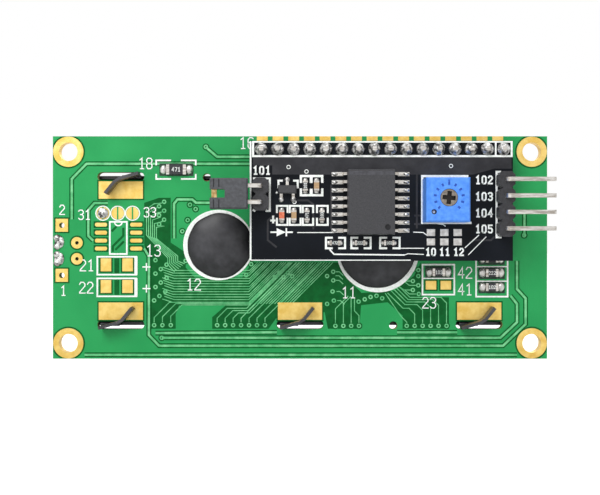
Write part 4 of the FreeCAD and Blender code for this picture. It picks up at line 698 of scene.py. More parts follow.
# %% Dark patches under the bundles
patches = (
    left_part([(600, 440), (690, 410), (760, 410), (760, 680), (850, 740), (850, 830), (905, 890),
               (1190, 890), (1250, 800), (1500, 800), (1500, 900), (1400, 1000), (1400, 1130),
               (1350, 1200), (1010, 1200), (1010, 1130), (1090, 1060), (810, 1060), (790, 1110),
               (790, 1200), (640, 1200), (640, 780), (600, 700)]),
    right_part([(-50, 800), (270, 800), (300, 880), (400, 980), (400, 1060), (390, 1200),
                (200, 1200), (180, 1100), (-150, 1100), (-150, 900)]),
    right_part([(380, 985), (600, 970), (720, 880), (760, 800), (768, 1010), (930, 1010),
                (930, 1200), (650, 1200), (650, 1120), (560, 1040), (380, 1060)]),
)
for patch in patches:
    gaps.polygon(patch, DARK_LEVEL / 2)
print("dark patches:", len(patches))

# %% [markdown]
# Inside a bundle the tracks repeat at even steps, so each bundle is a loop: tracks leave a row of
# holes, run side by side along a shelf, and turn by 45 degrees into the rim of the left dome.

# %% The left bundles
KNEE = 800


def fine_tracks(side, *lines):
    """Fine tracks of one half, in drawing steps."""
    for line in lines:
        tracks.ribbon(side(line), TRACK_FINE, TRACK_LEVEL)


holes = []
for i in range(6):
    u, v, x = 720 - i % 2 * 30, 434 + i * 27, 614 + 12 * i
    holes += left_part([(u, v)])
    fine_tracks(left_part, [(u - 14, v + 8), (x + 46, v + 12), (x, 478 + 22 * i),
                            (x, 636 + 4 * i), (x + 128, 772 - 2 * i), (x + 128, 812 - 4 * i),
                            (x + 170, 858 - 10 * i)])
holes += left_part([((668, 735, 700)[i % 3] - (8 if i > 6 else 0), 786 + i * 27)
                    for i in range(10)])
for i in range(13):
    v, start, end = 848 + 16 * i, 740 + 4 * (i % 4), 1236 - 3 * (i % 3)
    fine_tracks(left_part, [(start - 30, v - 20), (start + 30, v), (end, v),
                            (end + v - KNEE, KNEE)])
for i, u in enumerate((660, 710, 760)):
    up, shelf = 1132 - 4 * i, 1040 + 8 * i
    holes += left_part([(u, 1178)])
    fine_tracks(left_part, [(u, 1160), (u, up), (u + up - shelf, shelf), (1230, shelf),
                            (1230 + shelf - KNEE, KNEE)])
for i in range(7):
    u, up, shelf, end = 1040 + 48 * i, 1136, 1076 + 14 * i, 1218 + 8 * i
    holes += left_part([(u, 1178)])
    shelved = [(u + up - shelf, shelf), (end, shelf), (end + shelf - KNEE, KNEE)]
    fine_tracks(left_part, [(u, 1160), (u, up)] + (shelved if i < 3 else [(u + up - KNEE, KNEE)]))
holes += left_part([(876, 452), (910, 478), (862, 545), (830, 612), (850, 790), (1215, 876),
                    (1245, 810), (1388, 888), (1415, 862), (1440, 888), (1466, 862), (1492, 882)])
print("small through holes in the left half:", len(holes))

# %% [markdown]
# The right-hand dome has two bundles below it and a fan of fourteen tracks at its left.

# %% The bundles round the right-hand dome
holes += right_part([(u, 1182) for u in (245, 293, 340, 387)])
fine_tracks(right_part, [(245, 1164), (245, 1080), (322, 1002)],
            [(293, 1164), (293, 1050), (338, 1005)], [(340, 1164), (340, 1008)],
            [(387, 1164), (387, 1120), (360, 1092), (360, 1010)])
for i, (knee, end, shelf) in enumerate(((None, 545, 1125), (652, 560, 1076), (664, 576, 1054),
                                        (674, 590, 1038), (684, 604, 1024), (694, 618, 1010))):
    u = 675 + 48 * i
    holes += right_part([(u, 1182)])
    line = [(u, 1164), (u, shelf + 34), (u - 34, shelf)]
    line += [(knee, shelf), (end, shelf - knee + end)] if knee else [(end, 985)]
    fine_tracks(right_part, line)
for i in range(14):
    reach = 230 - 17 * i
    fine_tracks(right_part, [(reach, 800), (reach - 250, 1050)])
holes += right_part([(195, 882), (232, 856), (232, 908), (228, 975), (195, 1050), (236, 1030),
                     (385, 1036), (422, 1022), (457, 1008), (493, 1001), (527, 1016), (745, 846),
                     (712, 912), (745, 882), (745, 938), (712, 966), (748, 990)])
for u, v in ((248, 856), (248, 908), (246, 880), (252, 975), (256, 1030)):
    fine_tracks(right_part, [(u, v), (u + 20, v), (u + 44, v + 22)])
for u, v in ((730, 846), (698, 912), (730, 938), (698, 966), (732, 990)):
    fine_tracks(right_part, [(u, v), (u - 40, v), (u - 66, v - 20)])
holes += right_part([(1383, 636)]) + left_part([(972, 103), (706, 1254)])
print("small through holes in both halves:", len(holes))

# %% [markdown]
# Every small hole has a ring of copper round it and a dark gap round that. A ring lies over the
# end of its track, and both levels are off by an odd part of a hair, so no two faces coincide.

# %% Rings of the small through holes
HOLE_GAP, HOLE_RING, HOLE = 0.56, 0.36, 0.17
UNDER_GAPS, OVER_TRACKS = DARK_LEVEL - 0.0009, TRACK_LEVEL + 0.0131
for centre in holes:
    gaps.ring(centre, HOLE_GAP, 0, UNDER_GAPS)
    tracks.ring(centre, HOLE_RING, HOLE, OVER_TRACKS)
gaps.finish("lacquer_over_laminate", mask_over_laminate)
tracks.finish("lacquered_tracks", mask_over_track)

# %% [markdown]
# ### Legends on the back of the green board
# White ink marks the outline and the number of each part. An outline is drawn a little larger
# than its part, and a thicker side marks the positive end of a capacitor.

# %% Legends of the green board
ink = Sheet(MAIN_FACE)
PEN, BOX = 0.17, 0.26
ink.frame((20.07, 12.60), 6.4, 3.0, BOX, INK_LEVEL, gap_x=1.6, gap_z=1.4)
for x in (31.9, 29.5, 27.1):
    ink.ring((x, 5.55), 1.22, 1.05, INK_LEVEL, 28)
ink.frame((29.4, 1.55), 2.75, 5.2, BOX, INK_LEVEL)
ink.ribbon([(29.4 + 0.62 * math.cos(math.radians(a)), 4.15 - 0.62 * math.sin(math.radians(a)))
            for a in range(0, 181, 20)], BOX * 0.8, INK_LEVEL)
for z in (-2.95, -6.45):
    ink.frame((29.65, z), 6.3, 2.9, BOX, INK_LEVEL)
    ink.ribbon([(26.55, z - 1.5), (26.55, z + 1.5)], 0.5, INK_LEVEL)
    plot(ink, "+", (24.95, z - 0.2), 1.9, 0.2)
ink.frame((-22.4, -5.2), 5.15, 4.85, BOX, INK_LEVEL)
ink.ribbon([(-24.9, -5.0), (-19.9, -5.0)], BOX * 0.7, INK_LEVEL)
ink.frame((-31.05, -4.0), 5.1, 7.9, BOX, INK_LEVEL)
for z in (-3.1, -5.45):
    ink.ribbon([(-33.5, z), (-28.6, z)], BOX * 0.7, INK_LEVEL)
for name in ("controller_dome", "driver_dome"):
    low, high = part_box(name)
    radius = (high[0] - low[0]) / 2 / MM
    ink.ring(centre_of(name), radius + 0.1, radius - 0.8, INK_LEVEL, 48)
for text, place, height in (
    ("18", (25.0, 13.6), 1.7), ("16", (8.6, 16.9), 1.75), ("2", (38.5, 6.1), 1.5),
    ("1", (38.3, -7.0), 1.5), ("31", (34.9, 5.3), 1.5),
    ("33", (24.3, 5.7), 1.5), ("13", (23.7, -0.5), 1.75), ("12", (17.2, -6.0), 1.75),
    ("11", (-7.9, -7.3), 1.7), ("21", (34.5, -2.9), 1.75), ("22", (34.6, -6.5), 1.75),
    ("23", (-20.9, -8.95), 1.7), ("42", (-26.7, -4.1), 1.75), ("41", (-26.7, -6.8), 1.75),
):
    plot(ink, text, place, height, PEN)
ink.finish("white_legends_of_the_green_board", white_ink)

# %% [markdown]
# ### Legends on the adapter board
# The adapter's legend was drawn on a grid of 71 steps to the millimetre. Its lines are heavy:
# about a third of a millimetre. The corner marks show where each part sits, the labels are plain
# numbers, and a diode sign stands beside the power light.

# %% Grid of the adapter's drawing
NEAR_GRID = 0.014063
NEAR_LEFT_CORNER, NEAR_RIGHT_CORNER = (10.277, 17.751), (-11.774, 17.751)


def near_left(points):
    """Drawing steps of the adapter's left half, turned to (X, Z) in mm."""
    x, z = NEAR_LEFT_CORNER
    return [(x - u * NEAR_GRID, z - v * NEAR_GRID) for u, v in points]


def near_right(points):
    """Drawing steps of the adapter's right half, turned to (X, Z) in mm."""
    x, z = NEAR_RIGHT_CORNER
    return [(x - u * NEAR_GRID, z - v * NEAR_GRID) for u, v in points]


print("steps of the adapter's drawing to the millimetre: %.0f" % (1 / NEAR_GRID))

# %% [markdown]
# The heavy lines come first: the frame of the header strip, the edges of the serial and jumper
# headers, and a bracket of four corners round each small part.

# %% Lines and brackets of the adapter
HEAVY, EDGE, FINE = 0.32, 0.26, 0.13
near, thin = Sheet(ADAPTER_FACE), Sheet(ADAPTER_FACE)


def bracket(side, left, top, right, bottom, gap_top=0.0, gap_side=0.0, line=HEAVY):
    """Outline of a small part in drawing steps, open in the middle of two of its sides."""
    (x0, z0), (x1, z1) = side([(left, top), (right, bottom)])
    near.frame(((x0 + x1) / 2, (z0 + z1) / 2), abs(x1 - x0) - line, abs(z1 - z0) - line, line,
               INK_LEVEL, gap_x=gap_top, gap_z=gap_side)


near.ribbon(near_left([(206, 88), (206, 240)]) + near_right([(1530, 240), (1530, 78)]), HEAVY,
            INK_LEVEL)
near.ribbon(near_left([(195, 80)]) + near_right([(1541, 80)]), 0.24, INK_LEVEL)
near.ribbon(near_right([(1352, 88), (1352, 236)]), EDGE, INK_LEVEL)
near.ribbon(near_left([(178, 74), (178, 1404)]), EDGE, INK_LEVEL)
near.ribbon(near_left([(178, 1404)]) + near_right([(400, 1404)]), 0.15, INK_LEVEL)
near.ribbon(near_left([(205, 489), (393, 489), (393, 852), (345, 852)]), HEAVY, INK_LEVEL)
near.ribbon(near_left([(203, 838), (232, 858)]), HEAVY, INK_LEVEL)
near.ribbon(near_left([(490, 600), (490, 515), (538, 515)]), HEAVY, INK_LEVEL)
near.ribbon(near_left([(655, 515), (705, 515), (705, 600)]), HEAVY, INK_LEVEL)
near.ring(near_left([(470, 647)])[0], 0.16, 0, INK_LEVEL, 10)
bracket(near_left, 728, 450, 992, 690, gap_side=0.85, line=0.36)
for v in ((462, 540), (605, 680)):
    near.ribbon(near_left([(856, v[0]), (856, v[1])]), 0.46, INK_LEVEL)
for left, right in ((462, 602), (606, 748), (752, 888), (910, 1052)):
    bracket(near_left, left, 786, right, 1020, gap_side=0.75, line=0.3)
bracket(near_left, 1010, 1142, 1246, 1282, gap_top=0.85, line=0.32)
bracket(near_left, 1294, 1142, 1532, 1282, gap_top=0.85, line=0.32)
bracket(near_right, 48, 1142, 288, 1282, gap_top=0.85, line=0.32)
near.ribbon(near_right([(1046, 464), (530, 464), (530, 986), (1082, 986)]), 0.36, INK_LEVEL)
near.ribbon(near_right([(1412, 416), (1362, 416), (1362, 1148), (1418, 1148)]), HEAVY, INK_LEVEL)
near.ribbon(near_left([(398, 960), (458, 960)]), HEAVY, INK_LEVEL)
near.ribbon(near_left([(430, 905), (430, 992)]), HEAVY, INK_LEVEL)

print("heavy marks on the adapter:", near.marks)

# %% [markdown]
# Thin lines lead from the labels to their pads and small rings show the through holes. The
# labels and the diode sign are plotted last.

# %% Thin lines, small rings and labels of the adapter
for line, pen in (
    (near_left([(700, 1095), (1112, 1095)]), FINE),
    (near_left([(1062, 1284), (1112, 1338)]) + near_right([(330, 1346)]), 0.22),
    (near_right([(330, 1346), (372, 1332), (548, 1340)]), FINE),
    (near_right([(288, 1271), (552, 1271)]), FINE),
    (near_right([(1008, 1266), (1165, 1122)]), 0.16),
    (near_right([(1046, 1345), (1246, 1142)]), FINE),
    (near_right([(430, 1090), (540, 1094), (590, 1130)]), FINE),
    (near_right([(700, 996), (762, 1004), (792, 1026)]), FINE),
):
    thin.ribbon(line, pen, INK_LEVEL)
for centre in near_left([(603, 362), (803, 412), (668, 752)]) + near_right([(852, 350)]):
    thin.ring(centre, 0.33, 0.22, INK_LEVEL, 14)
for text, place, height in (
    ("101", near_left([(302, 400)])[0], 1.15), ("102", near_right([(1222, 506)])[0], 1.15),
    ("103", near_right([(1222, 692)])[0], 1.15), ("104", near_right([(1222, 877)])[0], 1.15),
    ("105", near_right([(1222, 1055)])[0], 1.15), ("10", near_right([(625, 1312)])[0], 1.05),
    ("11", near_right([(780, 1312)])[0], 1.05), ("12", near_right([(938, 1312)])[0], 1.05),
):
    plot(near, text, place, height, 0.25, step=1.7)
near.polygon(near_left([(470, 1046), (470, 1136), (570, 1091)]), INK_LEVEL)
for line in ([(400, 1091), (470, 1091)], [(578, 1046), (578, 1136)], [(578, 1091), (650, 1091)]):
    near.ribbon(near_left(line), 0.24, INK_LEVEL)
near.finish("white_legends_of_the_adapter", white_ink)
thin.finish("thin_lines_of_the_adapter", white_ink)

# %% [markdown]
# The adapter's tracks show only as a slightly lighter black, because the lacquer hides their
# colour. The widest copper area lies along its upper edge.

# %% Tracks under the black lacquer
black_copper = lacquer_tone("black_lacquer_over_copper", "27272B", "353539", 0.4, 2.5)
area = Sheet(ADAPTER_FACE)
area.polygon(near_left([(205, 258), (205, 345), (420, 345), (420, 446), (1110, 446)])
             + near_right([(450, 446), (1100, 446), (1340, 380), (1530, 380), (1530, 258)]),
             DARK_LEVEL)
for line in (near_left([(440, 900), (370, 960), (370, 1180), (470, 1260)]),
             near_left([(700, 735), (820, 735), (880, 780), (880, 1060)]),
             near_left([(1080, 560), (1080, 1060)]),
             near_right([(470, 380), (470, 1050)]),
             near_right([(440, 905), (520, 905)]), near_right([(440, 1000), (520, 1000)]),
             near_right([(1110, 1180), (1300, 1180), (1340, 1140)])):
    area.ribbon(line, 0.3, DARK_LEVEL)
area.finish("copper_under_black_lacquer", black_copper)

# %% [markdown]
# ## Solder and poured epoxy
# Solder and epoxy are liquids that froze, so no two drops are equal. Each drop here is a profile
# turned about its axis, with a little smooth noise in its radius and its slope. A joint wets its
# pad, sweeps up along the pin and ends in a small collar; a fillet of solder lies at the toe of
# each lead and at the ends of the chip parts.

# %% Drops turned from a profile
def join_rings(bm, rings):
    """Join rings of points by a skin of four-sided faces."""
    for low, high in zip(rings, rings[1:]):
        for i in range(len(low)):
            j = (i + 1) % len(low)
            bm.faces.new((low[i], low[j], high[j], high[i]))


def drop(bm, centre, base, way, profile, wobble, seed, parts=24):
    """Add a round drop on a face; profile is a list of (radius, height) in mm."""
    rings = []
    for radius, height in profile:
        ring = []
        for c, s in circle(parts):
            uneven = noise.noise(Vector((c * 1.3 + seed * 3.7, s * 1.3, height * 1.5)))
            r = radius * (1 + wobble * uneven * (1 if height else 0.5))
            lift = height * (1 + wobble * 0.5 * noise.noise(Vector((c, s + seed, 5.0))))
            ring.append(bm.verts.new(((centre[0] + c * r) * MM, (base + way * lift) * MM,
                                      (centre[1] + s * r) * MM)))
        rings.append(ring)
    join_rings(bm, rings)
    bm.faces.new(rings[-1])
    bm.faces.new(rings[0])


def mound(bm, centre, base, length, width, height, seed, along="X", parts=16, rows=4):
    """Add a low fillet of solder with an oval foot, in mm, on a face that looks to +Y."""
    rings = []
    for row in range(rows):
        share = row / rows
        size = math.cos(share * math.pi / 2) ** 0.7
        level = base + height * math.sin(share * math.pi / 2)
        ring = []
        for c, s in circle(parts):
            uneven = 1 + 0.12 * noise.noise(Vector((c + seed, s, share)))
            a, b = c * size * length / 2 * uneven, s * size * width / 2
            dx, dz = (a, b) if along == "X" else (b, a)
            ring.append(bm.verts.new(((centre[0] + dx) * MM, level * MM, (centre[1] + dz) * MM)))
        rings.append(ring)
    join_rings(bm, rings)
    peak = bm.verts.new((centre[0] * MM, (base + height) * MM, centre[1] * MM))
    for i in range(parts):
        bm.faces.new((rings[-1][i], rings[-1][(i + 1) % parts], peak))
    bm.faces.new(rings[0])


def piece(name, bm, material, *replaced):
    """Turn the mesh into a smooth piece on the module that may take a solid's place."""
    bmesh.ops.recalc_face_normals(bm, faces=bm.faces)
    for face in bm.faces:
        face.smooth = True
    thing = add_piece(name, bm, material)
    if replaced:
        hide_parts(*replaced)


# %% [markdown]
# The joints on the adapter were made with much solder, so they are tall and wide. Those on the
# display side only wet the pad, and the bent headers have small ones on the hidden face.

# %% Joints of the header pins
PITCH = 2.54
PIN_HALF = 0.32
FRONT_PAD_FACE = -0.05
ADAPTER_JOINT = [(1.04, 0), (1.0, 0.16), (0.88, 0.36), (0.72, 0.5), (0.6, 0.64), (0.54, 0.82),
                 (0.47, 0.97)]
FRONT_JOINT = [(0.77, 0), (0.73, 0.12), (0.62, 0.28), (0.52, 0.48), (0.46, 0.7), (0.42, 0.93)]
TAIL_JOINT = [(0.74, 0), (0.7, 0.1), (0.56, 0.26), (0.47, 0.46), (0.42, 0.68)]
first_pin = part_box("header_pins")[0][0] / MM + PIN_HALF
header_z = centre_of("header_pins")[1]
adapter_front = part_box("adapter_board")[0][1] / MM

for name, base, way, profile, wobble, seed, solid in (
    ("poured_adapter_joints", ADAPTER_FACE, 1, ADAPTER_JOINT, 0.13, 0, "adapter_solder_joints"),
    ("poured_front_joints", FRONT_PAD_FACE, -1, FRONT_JOINT, 0.1, 40, "front_solder_joints"),
):
    bm = bmesh.new()
    for n in range(16):
        drop(bm, (first_pin + PITCH * n, header_z), base, way, profile, wobble, n + seed)
    piece(name, bm, solder, solid)

bm = bmesh.new()
for name, side, inward in (("serial_header_pins", 1, -1), ("jumper_header_pins", 0, 1)):
    low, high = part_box(name)
    x = (low, high)[side][0] / MM + inward * PIN_HALF
    top = high[2] / MM - PIN_HALF
    for n in range(round((high[2] - low[2]) / MM / PITCH) + 1):
        drop(bm, (x, top - PITCH * n), adapter_front, -1, TAIL_JOINT, 0.1, n + 80)
piece("poured_tail_joints", bm, solder, "tail_solder_joints")

# %% [markdown]
# The backlight's tongue is soldered at four places. Between the first two and the last two the
# solder ran together, so a low mound joins each pair.

# %% Lumps of the backlight and of the bridged pad
BACKLIGHT_LUMP = [(0.6, 0), (0.57, 0.12), (0.48, 0.26), (0.33, 0.38), (0.14, 0.44)]
BACKLIGHT_TAIL = [(0.4, 0), (0.38, 0.1), (0.24, 0.18), (0.08, 0.2)]
LINK_LUMP = [(0.9, 0), (0.85, 0.1), (0.66, 0.23), (0.38, 0.31), (0.12, 0.34)]
LUMP_HALF = 0.6
low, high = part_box("backlight_solder_joints")
x = centre_of("backlight_solder_joints")[0]
top = high[2] / MM - LUMP_HALF
spacing = ((high[2] - low[2]) / MM - 2 * LUMP_HALF) / 3
bm = bmesh.new()
for n in range(4):
    drop(bm, (x, top - spacing * n), MAIN_FACE, 1, BACKLIGHT_LUMP, 0.12, n + 60)
    drop(bm, (x, top - spacing * n), 0.0, -1, BACKLIGHT_TAIL, 0.08, n + 70, 16)
for n in (0.5, 2.5):
    mound(bm, (x - 0.35, top - spacing * n), MAIN_FACE, 1.7, 2.1, 0.26, n)
piece("poured_backlight_joints", bm, solder, "backlight_solder_joints")

bm = bmesh.new()
drop(bm, centre_of("link_solder"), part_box("link_solder")[0][1] / MM, 1, LINK_LUMP, 0.1, 7)
piece("poured_link_bridge", bm, solder, "link_solder")

# %% [markdown]
# The lands of the adapter's parts are tinned, and a fillet of solder rises from each land to the
# toe of its lead.

# %% Fillets at the leads
LEAD_PITCH, LEAD_HALF = 1.27, 0.21
pads_low, pads_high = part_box("expander_chip_pads")
leads_low, leads_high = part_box("expander_chip_leads")
land = pads_high[1] / MM
top_lead = leads_high[2] / MM - LEAD_HALF
bm = bmesh.new()
for n in range(8):
    for outer, toe in ((pads_high[0], leads_high[0]), (pads_low[0], leads_low[0])):
        mound(bm, ((outer + toe) / 2 / MM, top_lead - LEAD_PITCH * n), land,
              abs(outer - toe) / MM * 0.98, 0.56, 0.26, n)
low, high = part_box("transistor_leads")
for x, z in ((centre_of("transistor_leads")[0], high[2] / MM + 0.28),
             (low[0] / MM + 0.22, low[2] / MM - 0.28), (high[0] / MM - 0.22, low[2] / MM - 0.28)):
    mound(bm, (x, z), ADAPTER_FACE, 0.95, 0.85, 0.3, x, along="Z")
piece("fillets_of_the_adapter", bm, solder)

# %% [markdown]
# A chip resistor, capacitor or diode has a plated end at each side, and the solder lies beyond
# it. The CAD holds all the ends of one kind in one solid of many parts, so a helper lists the
# parts, and the nearest other part is taken as the far end of the same chip.

# %% Fillets at the ends of the chip parts
def islands(mesh):
    """Boxes of the separate solids of a mesh, in order."""
    bm = bmesh.new()
    bm.from_mesh(mesh)
    bmesh.ops.remove_doubles(bm, verts=bm.verts, dist=0.001 * MM)
    left, found = set(bm.verts), []
    while left:
        stack, group = [left.pop()], []
        while stack:
            vert = stack.pop()
            group.append(vert.co.copy())
            for edge in vert.link_edges:
                other = edge.other_vert(vert)
                if other in left:
                    left.remove(other)
                    stack.append(other)
        found.append(([min(p[i] for p in group) for i in range(3)],
                      [max(p[i] for p in group) for i in range(3)]))
    bm.free()
    return sorted(found)


def end_fillets(bm, node, face, length, width, height):
    """Fillets beyond both ends of every chip part of a node that holds the plated ends."""
    ends = islands(nodes[node].data)
    for seed, (low, high) in enumerate(ends):
        here = centre_of((low, high))
        partner = min((end for end in ends if end[0] != low),
                      key=lambda end: sum((a - b) ** 2 for a, b in zip(end[0], low)))
        away = [a - b for a, b in zip(here, centre_of(partner))]
        axis = 0 if abs(away[0]) > abs(away[1]) else 1
        size = (high[2 * axis] - low[2 * axis]) / MM
        step = length / 2 + size / 2 - 0.12
        spot = list(here)
        spot[axis] += step if away[axis] > 0 else -step
        mound(bm, spot, face, length, width, height, seed, along="XZ"[axis])


bm = bmesh.new()
for node, face, length, width, height in (
    ("main_board_resistor_ends", MAIN_FACE, 1.2, 1.55, 0.5),
    ("adapter_resistor_ends", ADAPTER_FACE, 0.55, 0.75, 0.3),
    ("adapter_capacitor_ends", ADAPTER_FACE, 0.55, 0.8, 0.4),
    ("power_diode_ends", ADAPTER_FACE, 0.55, 0.75, 0.3),
):
    end_fillets(bm, node, face, length, width, height)
piece("fillets_of_the_chip_parts", bm, tinned)

# %% [markdown]
# ### The poured domes
# Each dome keeps the footprint and height of its solid. Its rim spreads a little unevenly over
# the white ring, so the ring looks thicker on one side, and its middle sags flat as it cures.

# %% Domes with an uneven rim
def poured_dome(name, node, lean, seed, rows=14, parts=72):
    """A drop of epoxy in the place of a dome; lean is the way in which its rim spread."""
    low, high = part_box(node)
    x, z = centre_of(node)
    radius, base, height = (high[0] - low[0]) / 2 / MM, low[1] / MM, (high[1] - low[1]) / MM
    bm = bmesh.new()
    rings = []
    for row in range(1, rows + 1):
        ring = []
        for c, s in circle(parts):
            rim = -0.1 + 0.24 * (c * math.cos(lean) + s * math.sin(lean))
            rim += 0.16 * noise.noise(Vector((c * 2.6 + seed, s * 2.6, 0.5)))
            r = (radius + rim) * math.sin(row / rows * math.pi / 2) ** 0.8
            sag = 0.04 * noise.noise(Vector((r * c * 0.25, r * s * 0.25, seed)))
            rise = 0.1 + (height - 0.14) * max(0.0, 1 - (r / (radius + rim)) ** 2.4) ** 0.8
            ring.append(bm.verts.new(((x + r * c) * MM, (base + min(rise + sag, height)) * MM,
                                      (z + r * s) * MM)))
        rings.append(ring)
    middle = bm.verts.new((x * MM, (base + height - 0.03) * MM, z * MM))
    for i in range(parts):
        bm.faces.new((middle, rings[0][i], rings[0][(i + 1) % parts]))
    rings.append([bm.verts.new((vert.co.x, base * MM, vert.co.z)) for vert in rings[-1]])
    join_rings(bm, rings)
    piece(name, bm, epoxy, node)


poured_dome("poured_controller_dome", "controller_dome", math.radians(200), 2.0)
poured_dome("poured_driver_dome", "driver_dome", math.radians(60), 5.0)

# %% [markdown]
# ## Small marks
# The trimmer has a dial of eleven raised marks round its rotor, a longer one at the top, and a
# small blind hole. They are a third of a millimetre wide, so they go into the material: it
# measures the distance and the angle from the rotor's axis. The cross slot of the rotor gets
# painted shade: everything below the rotor's face is painted a dark tone.

# %% Dial marks, blind hole and slot
DIAL_STEP, DIAL_END, AT_TOP = math.radians(27), 2.5, 0.06
MARK_HALF = 0.17
BLIND_HOLE = (-20.43, 5.44)
SLOT_DEPTH = 0.2
rotor_x, rotor_z = centre_of("trimmer_rotor")
rotor_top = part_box("trimmer_rotor")[1][1]


def around(tree, x, z):
    """Offset in mm from the line along Y through x and z, and its length."""
    place = add_node(tree, "ShaderNodeTexCoord")
    offset = add_node(tree, "ShaderNodeVectorMath", [(0, place.outputs["Object"])],
                      operation="SUBTRACT", in_1=(x * MM, 0, z * MM))
    flat = add_node(tree, "ShaderNodeVectorMath", [(0, offset.outputs[0])], operation="MULTIPLY",
                    in_1=(1 / MM, 0, 1 / MM))
    far = add_node(tree, "ShaderNodeVectorMath", [(0, flat.outputs[0])], operation="LENGTH")
    return flat.outputs[0], far.outputs["Value"]


trimmer_blue = moulded["blue_moulded_polyester"]
tree = trimmer_blue.node_tree
flat, far = around(tree, rotor_x, rotor_z)
sides = add_node(tree, "ShaderNodeSeparateXYZ", [("Vector", flat)])
angle = add_node(tree, "ShaderNodeMath", [(0, sides.outputs["X"]), (1, sides.outputs["Z"])],
                 operation="ARCTAN2")
turn = add_node(tree, "ShaderNodeMath", [(0, angle.outputs[0])], operation="ABSOLUTE")
nearest = add_node(tree, "ShaderNodeMath", [(0, turn.outputs[0])], operation="PINGPONG",
                   in_1=DIAL_STEP / 2)
beside = add_node(tree, "ShaderNodeMath", [(0, nearest.outputs[0]), (1, far)],
                  operation="MULTIPLY")
thin_enough = add_node(tree, "ShaderNodeMath", [(0, beside.outputs[0])], operation="LESS_THAN",
                       in_1=MARK_HALF)
in_band = add_node(tree, "ShaderNodeMath", [(0, far)], operation="COMPARE", in_1=2.15, in_2=0.22)
on_dial = add_node(tree, "ShaderNodeMath", [(0, turn.outputs[0])], operation="LESS_THAN",
                   in_1=DIAL_END)
mark = add_node(tree, "ShaderNodeMath", [(0, thin_enough.outputs[0]), (1, in_band.outputs[0])],
                operation="MULTIPLY")
short = add_node(tree, "ShaderNodeMath", [(0, mark.outputs[0]), (1, on_dial.outputs[0])],
                 operation="MULTIPLY")
at_top = add_node(tree, "ShaderNodeMath", [(0, turn.outputs[0])], operation="LESS_THAN",
                  in_1=AT_TOP)
long_band = add_node(tree, "ShaderNodeMath", [(0, far)], operation="COMPARE", in_1=2.4, in_2=0.34)
long = add_node(tree, "ShaderNodeMath", [(0, at_top.outputs[0]), (1, long_band.outputs[0])],
                operation="MULTIPLY")
marks = add_node(tree, "ShaderNodeMath", [(0, short.outputs[0]), (1, long.outputs[0])],
                 operation="MAXIMUM")
paint_over(trimmer_blue, marks.outputs[0], "2459BE")
from_hole = around(tree, *BLIND_HOLE)[1]
for radius, colour in ((0.38, "12284F"), (0.19, "E4EEFF")):
    within = add_node(tree, "ShaderNodeMath", [(0, from_hole)], operation="LESS_THAN", in_1=radius)
    paint_over(trimmer_blue, within.outputs[0], colour)

rotor_metal = moulded["dull_nickel_brass"]
tree = rotor_metal.node_tree
place = add_node(tree, "ShaderNodeTexCoord")
depth = add_node(tree, "ShaderNodeSeparateXYZ", [("Vector", place.outputs["Object"])])
# Painted shade: the cross slot, below the rotor's face, is painted dark.
painted_slot_shade = add_node(tree, "ShaderNodeMath", [(0, depth.outputs["Y"])], operation="LESS_THAN",
                in_1=rotor_top - SLOT_DEPTH * MM)
paint_over(rotor_metal, painted_slot_shade.outputs[0], "2B2724")
print("rotor axis in mm: %.2f %.2f" % (rotor_x, rotor_z))

# %% [markdown]
# The chip has a round dimple beside its first lead and a paler band at its far end, where the
# mould was polished.

# %% Marks on the chip
# This dark tone serves the chip's dimple, and as painted shade the slots of the shorting cap.
polished = lacquer_tone("polished_dark_resin", "1E1E20", "29292C", 0.35)
pale = lacquer_tone("polished_pale_resin", "434347", "515156", 0.42, 0.5)
chip_low, chip_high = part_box("expander_chip")
left, right = chip_low[0] / MM + 0.25, chip_high[0] / MM - 0.25
dimple, band = Sheet(chip_high[1] / MM), Sheet(chip_high[1] / MM)
dimple.ring((-13.62, 3.14), 0.44, 0, 0.01, 28)
dimple.finish("dimple_of_the_chip", polished)
band.polygon([(left, 11.25), (right, 11.25), (right, 11.85), (left, 11.85)], 0.005)
band.finish("pale_band_of_the_chip", pale)

# %% [markdown]
# Chip resistors carry three digits, as large as their width allows. Round each one on the green
# board a darker patch is laid.

# %% Digits and dark lands of the resistors
DIGITS = ("102", "222", "472", "103", "471", "101")
THREE_DIGITS = 2.35
for node, height, pen, upright_turns in (("main_board_resistors", 0.62, 0.1, 0),
                                         ("adapter_resistors", 0.4, 0.07, 1)):
    bodies = islands(nodes[node].data)
    tops = Sheet(bodies[0][1][1] / MM)
    for n, (low, high) in enumerate(bodies):
        upright = high[2] - low[2] > high[0] - low[0]
        turned = upright_turns if upright else 0
        free = (high[2] - low[2] if turned else high[0] - low[0]) / MM
        tall = min(height, free / THREE_DIGITS)
        plot(tops, DIGITS[n % len(DIGITS)], centre_of((low, high)), tall, min(pen, tall / 6),
             turn=turned, step=1.6)
    tops.finish("digits_of_" + node, white_ink)

LAND_HALF, LONG_LAND_HALF, LAND_RISE = 2.15, 2.75, 1.02
lands = Sheet(MAIN_FACE)
for box in islands(nodes["main_board_resistors"].data):
    x, z = centre_of(box)
    w = LONG_LAND_HALF if z > 10 else LAND_HALF
    lands.polygon([(x - w, z - LAND_RISE), (x + w, z - LAND_RISE), (x + w, z + LAND_RISE),
                   (x - w, z + LAND_RISE)], DARK_LEVEL + 0.014)
lands.finish("dark_lands_of_the_resistors",
             lacquer_tone("darker_patches_round_lands", "20382B", "2F4A3A", 0.4, 0.8))

# %% [markdown]
# The lacquer stops a little before each bare pad, so every pad has a narrow dark outline. Where
# a pad is close to the edge of the board, its outline ends there too.

# %% Outlines of the bare pads
OUTLINE, OUTLINE_LEVEL = 0.26, 0.0021


def bare_pads(*solids):
    """Boxes of the pads that lie on the back of the green board."""
    return [box for solid in solids for box in islands(nodes[solid].data)
            if box[1][1] / MM > MAIN_FACE - 0.2]


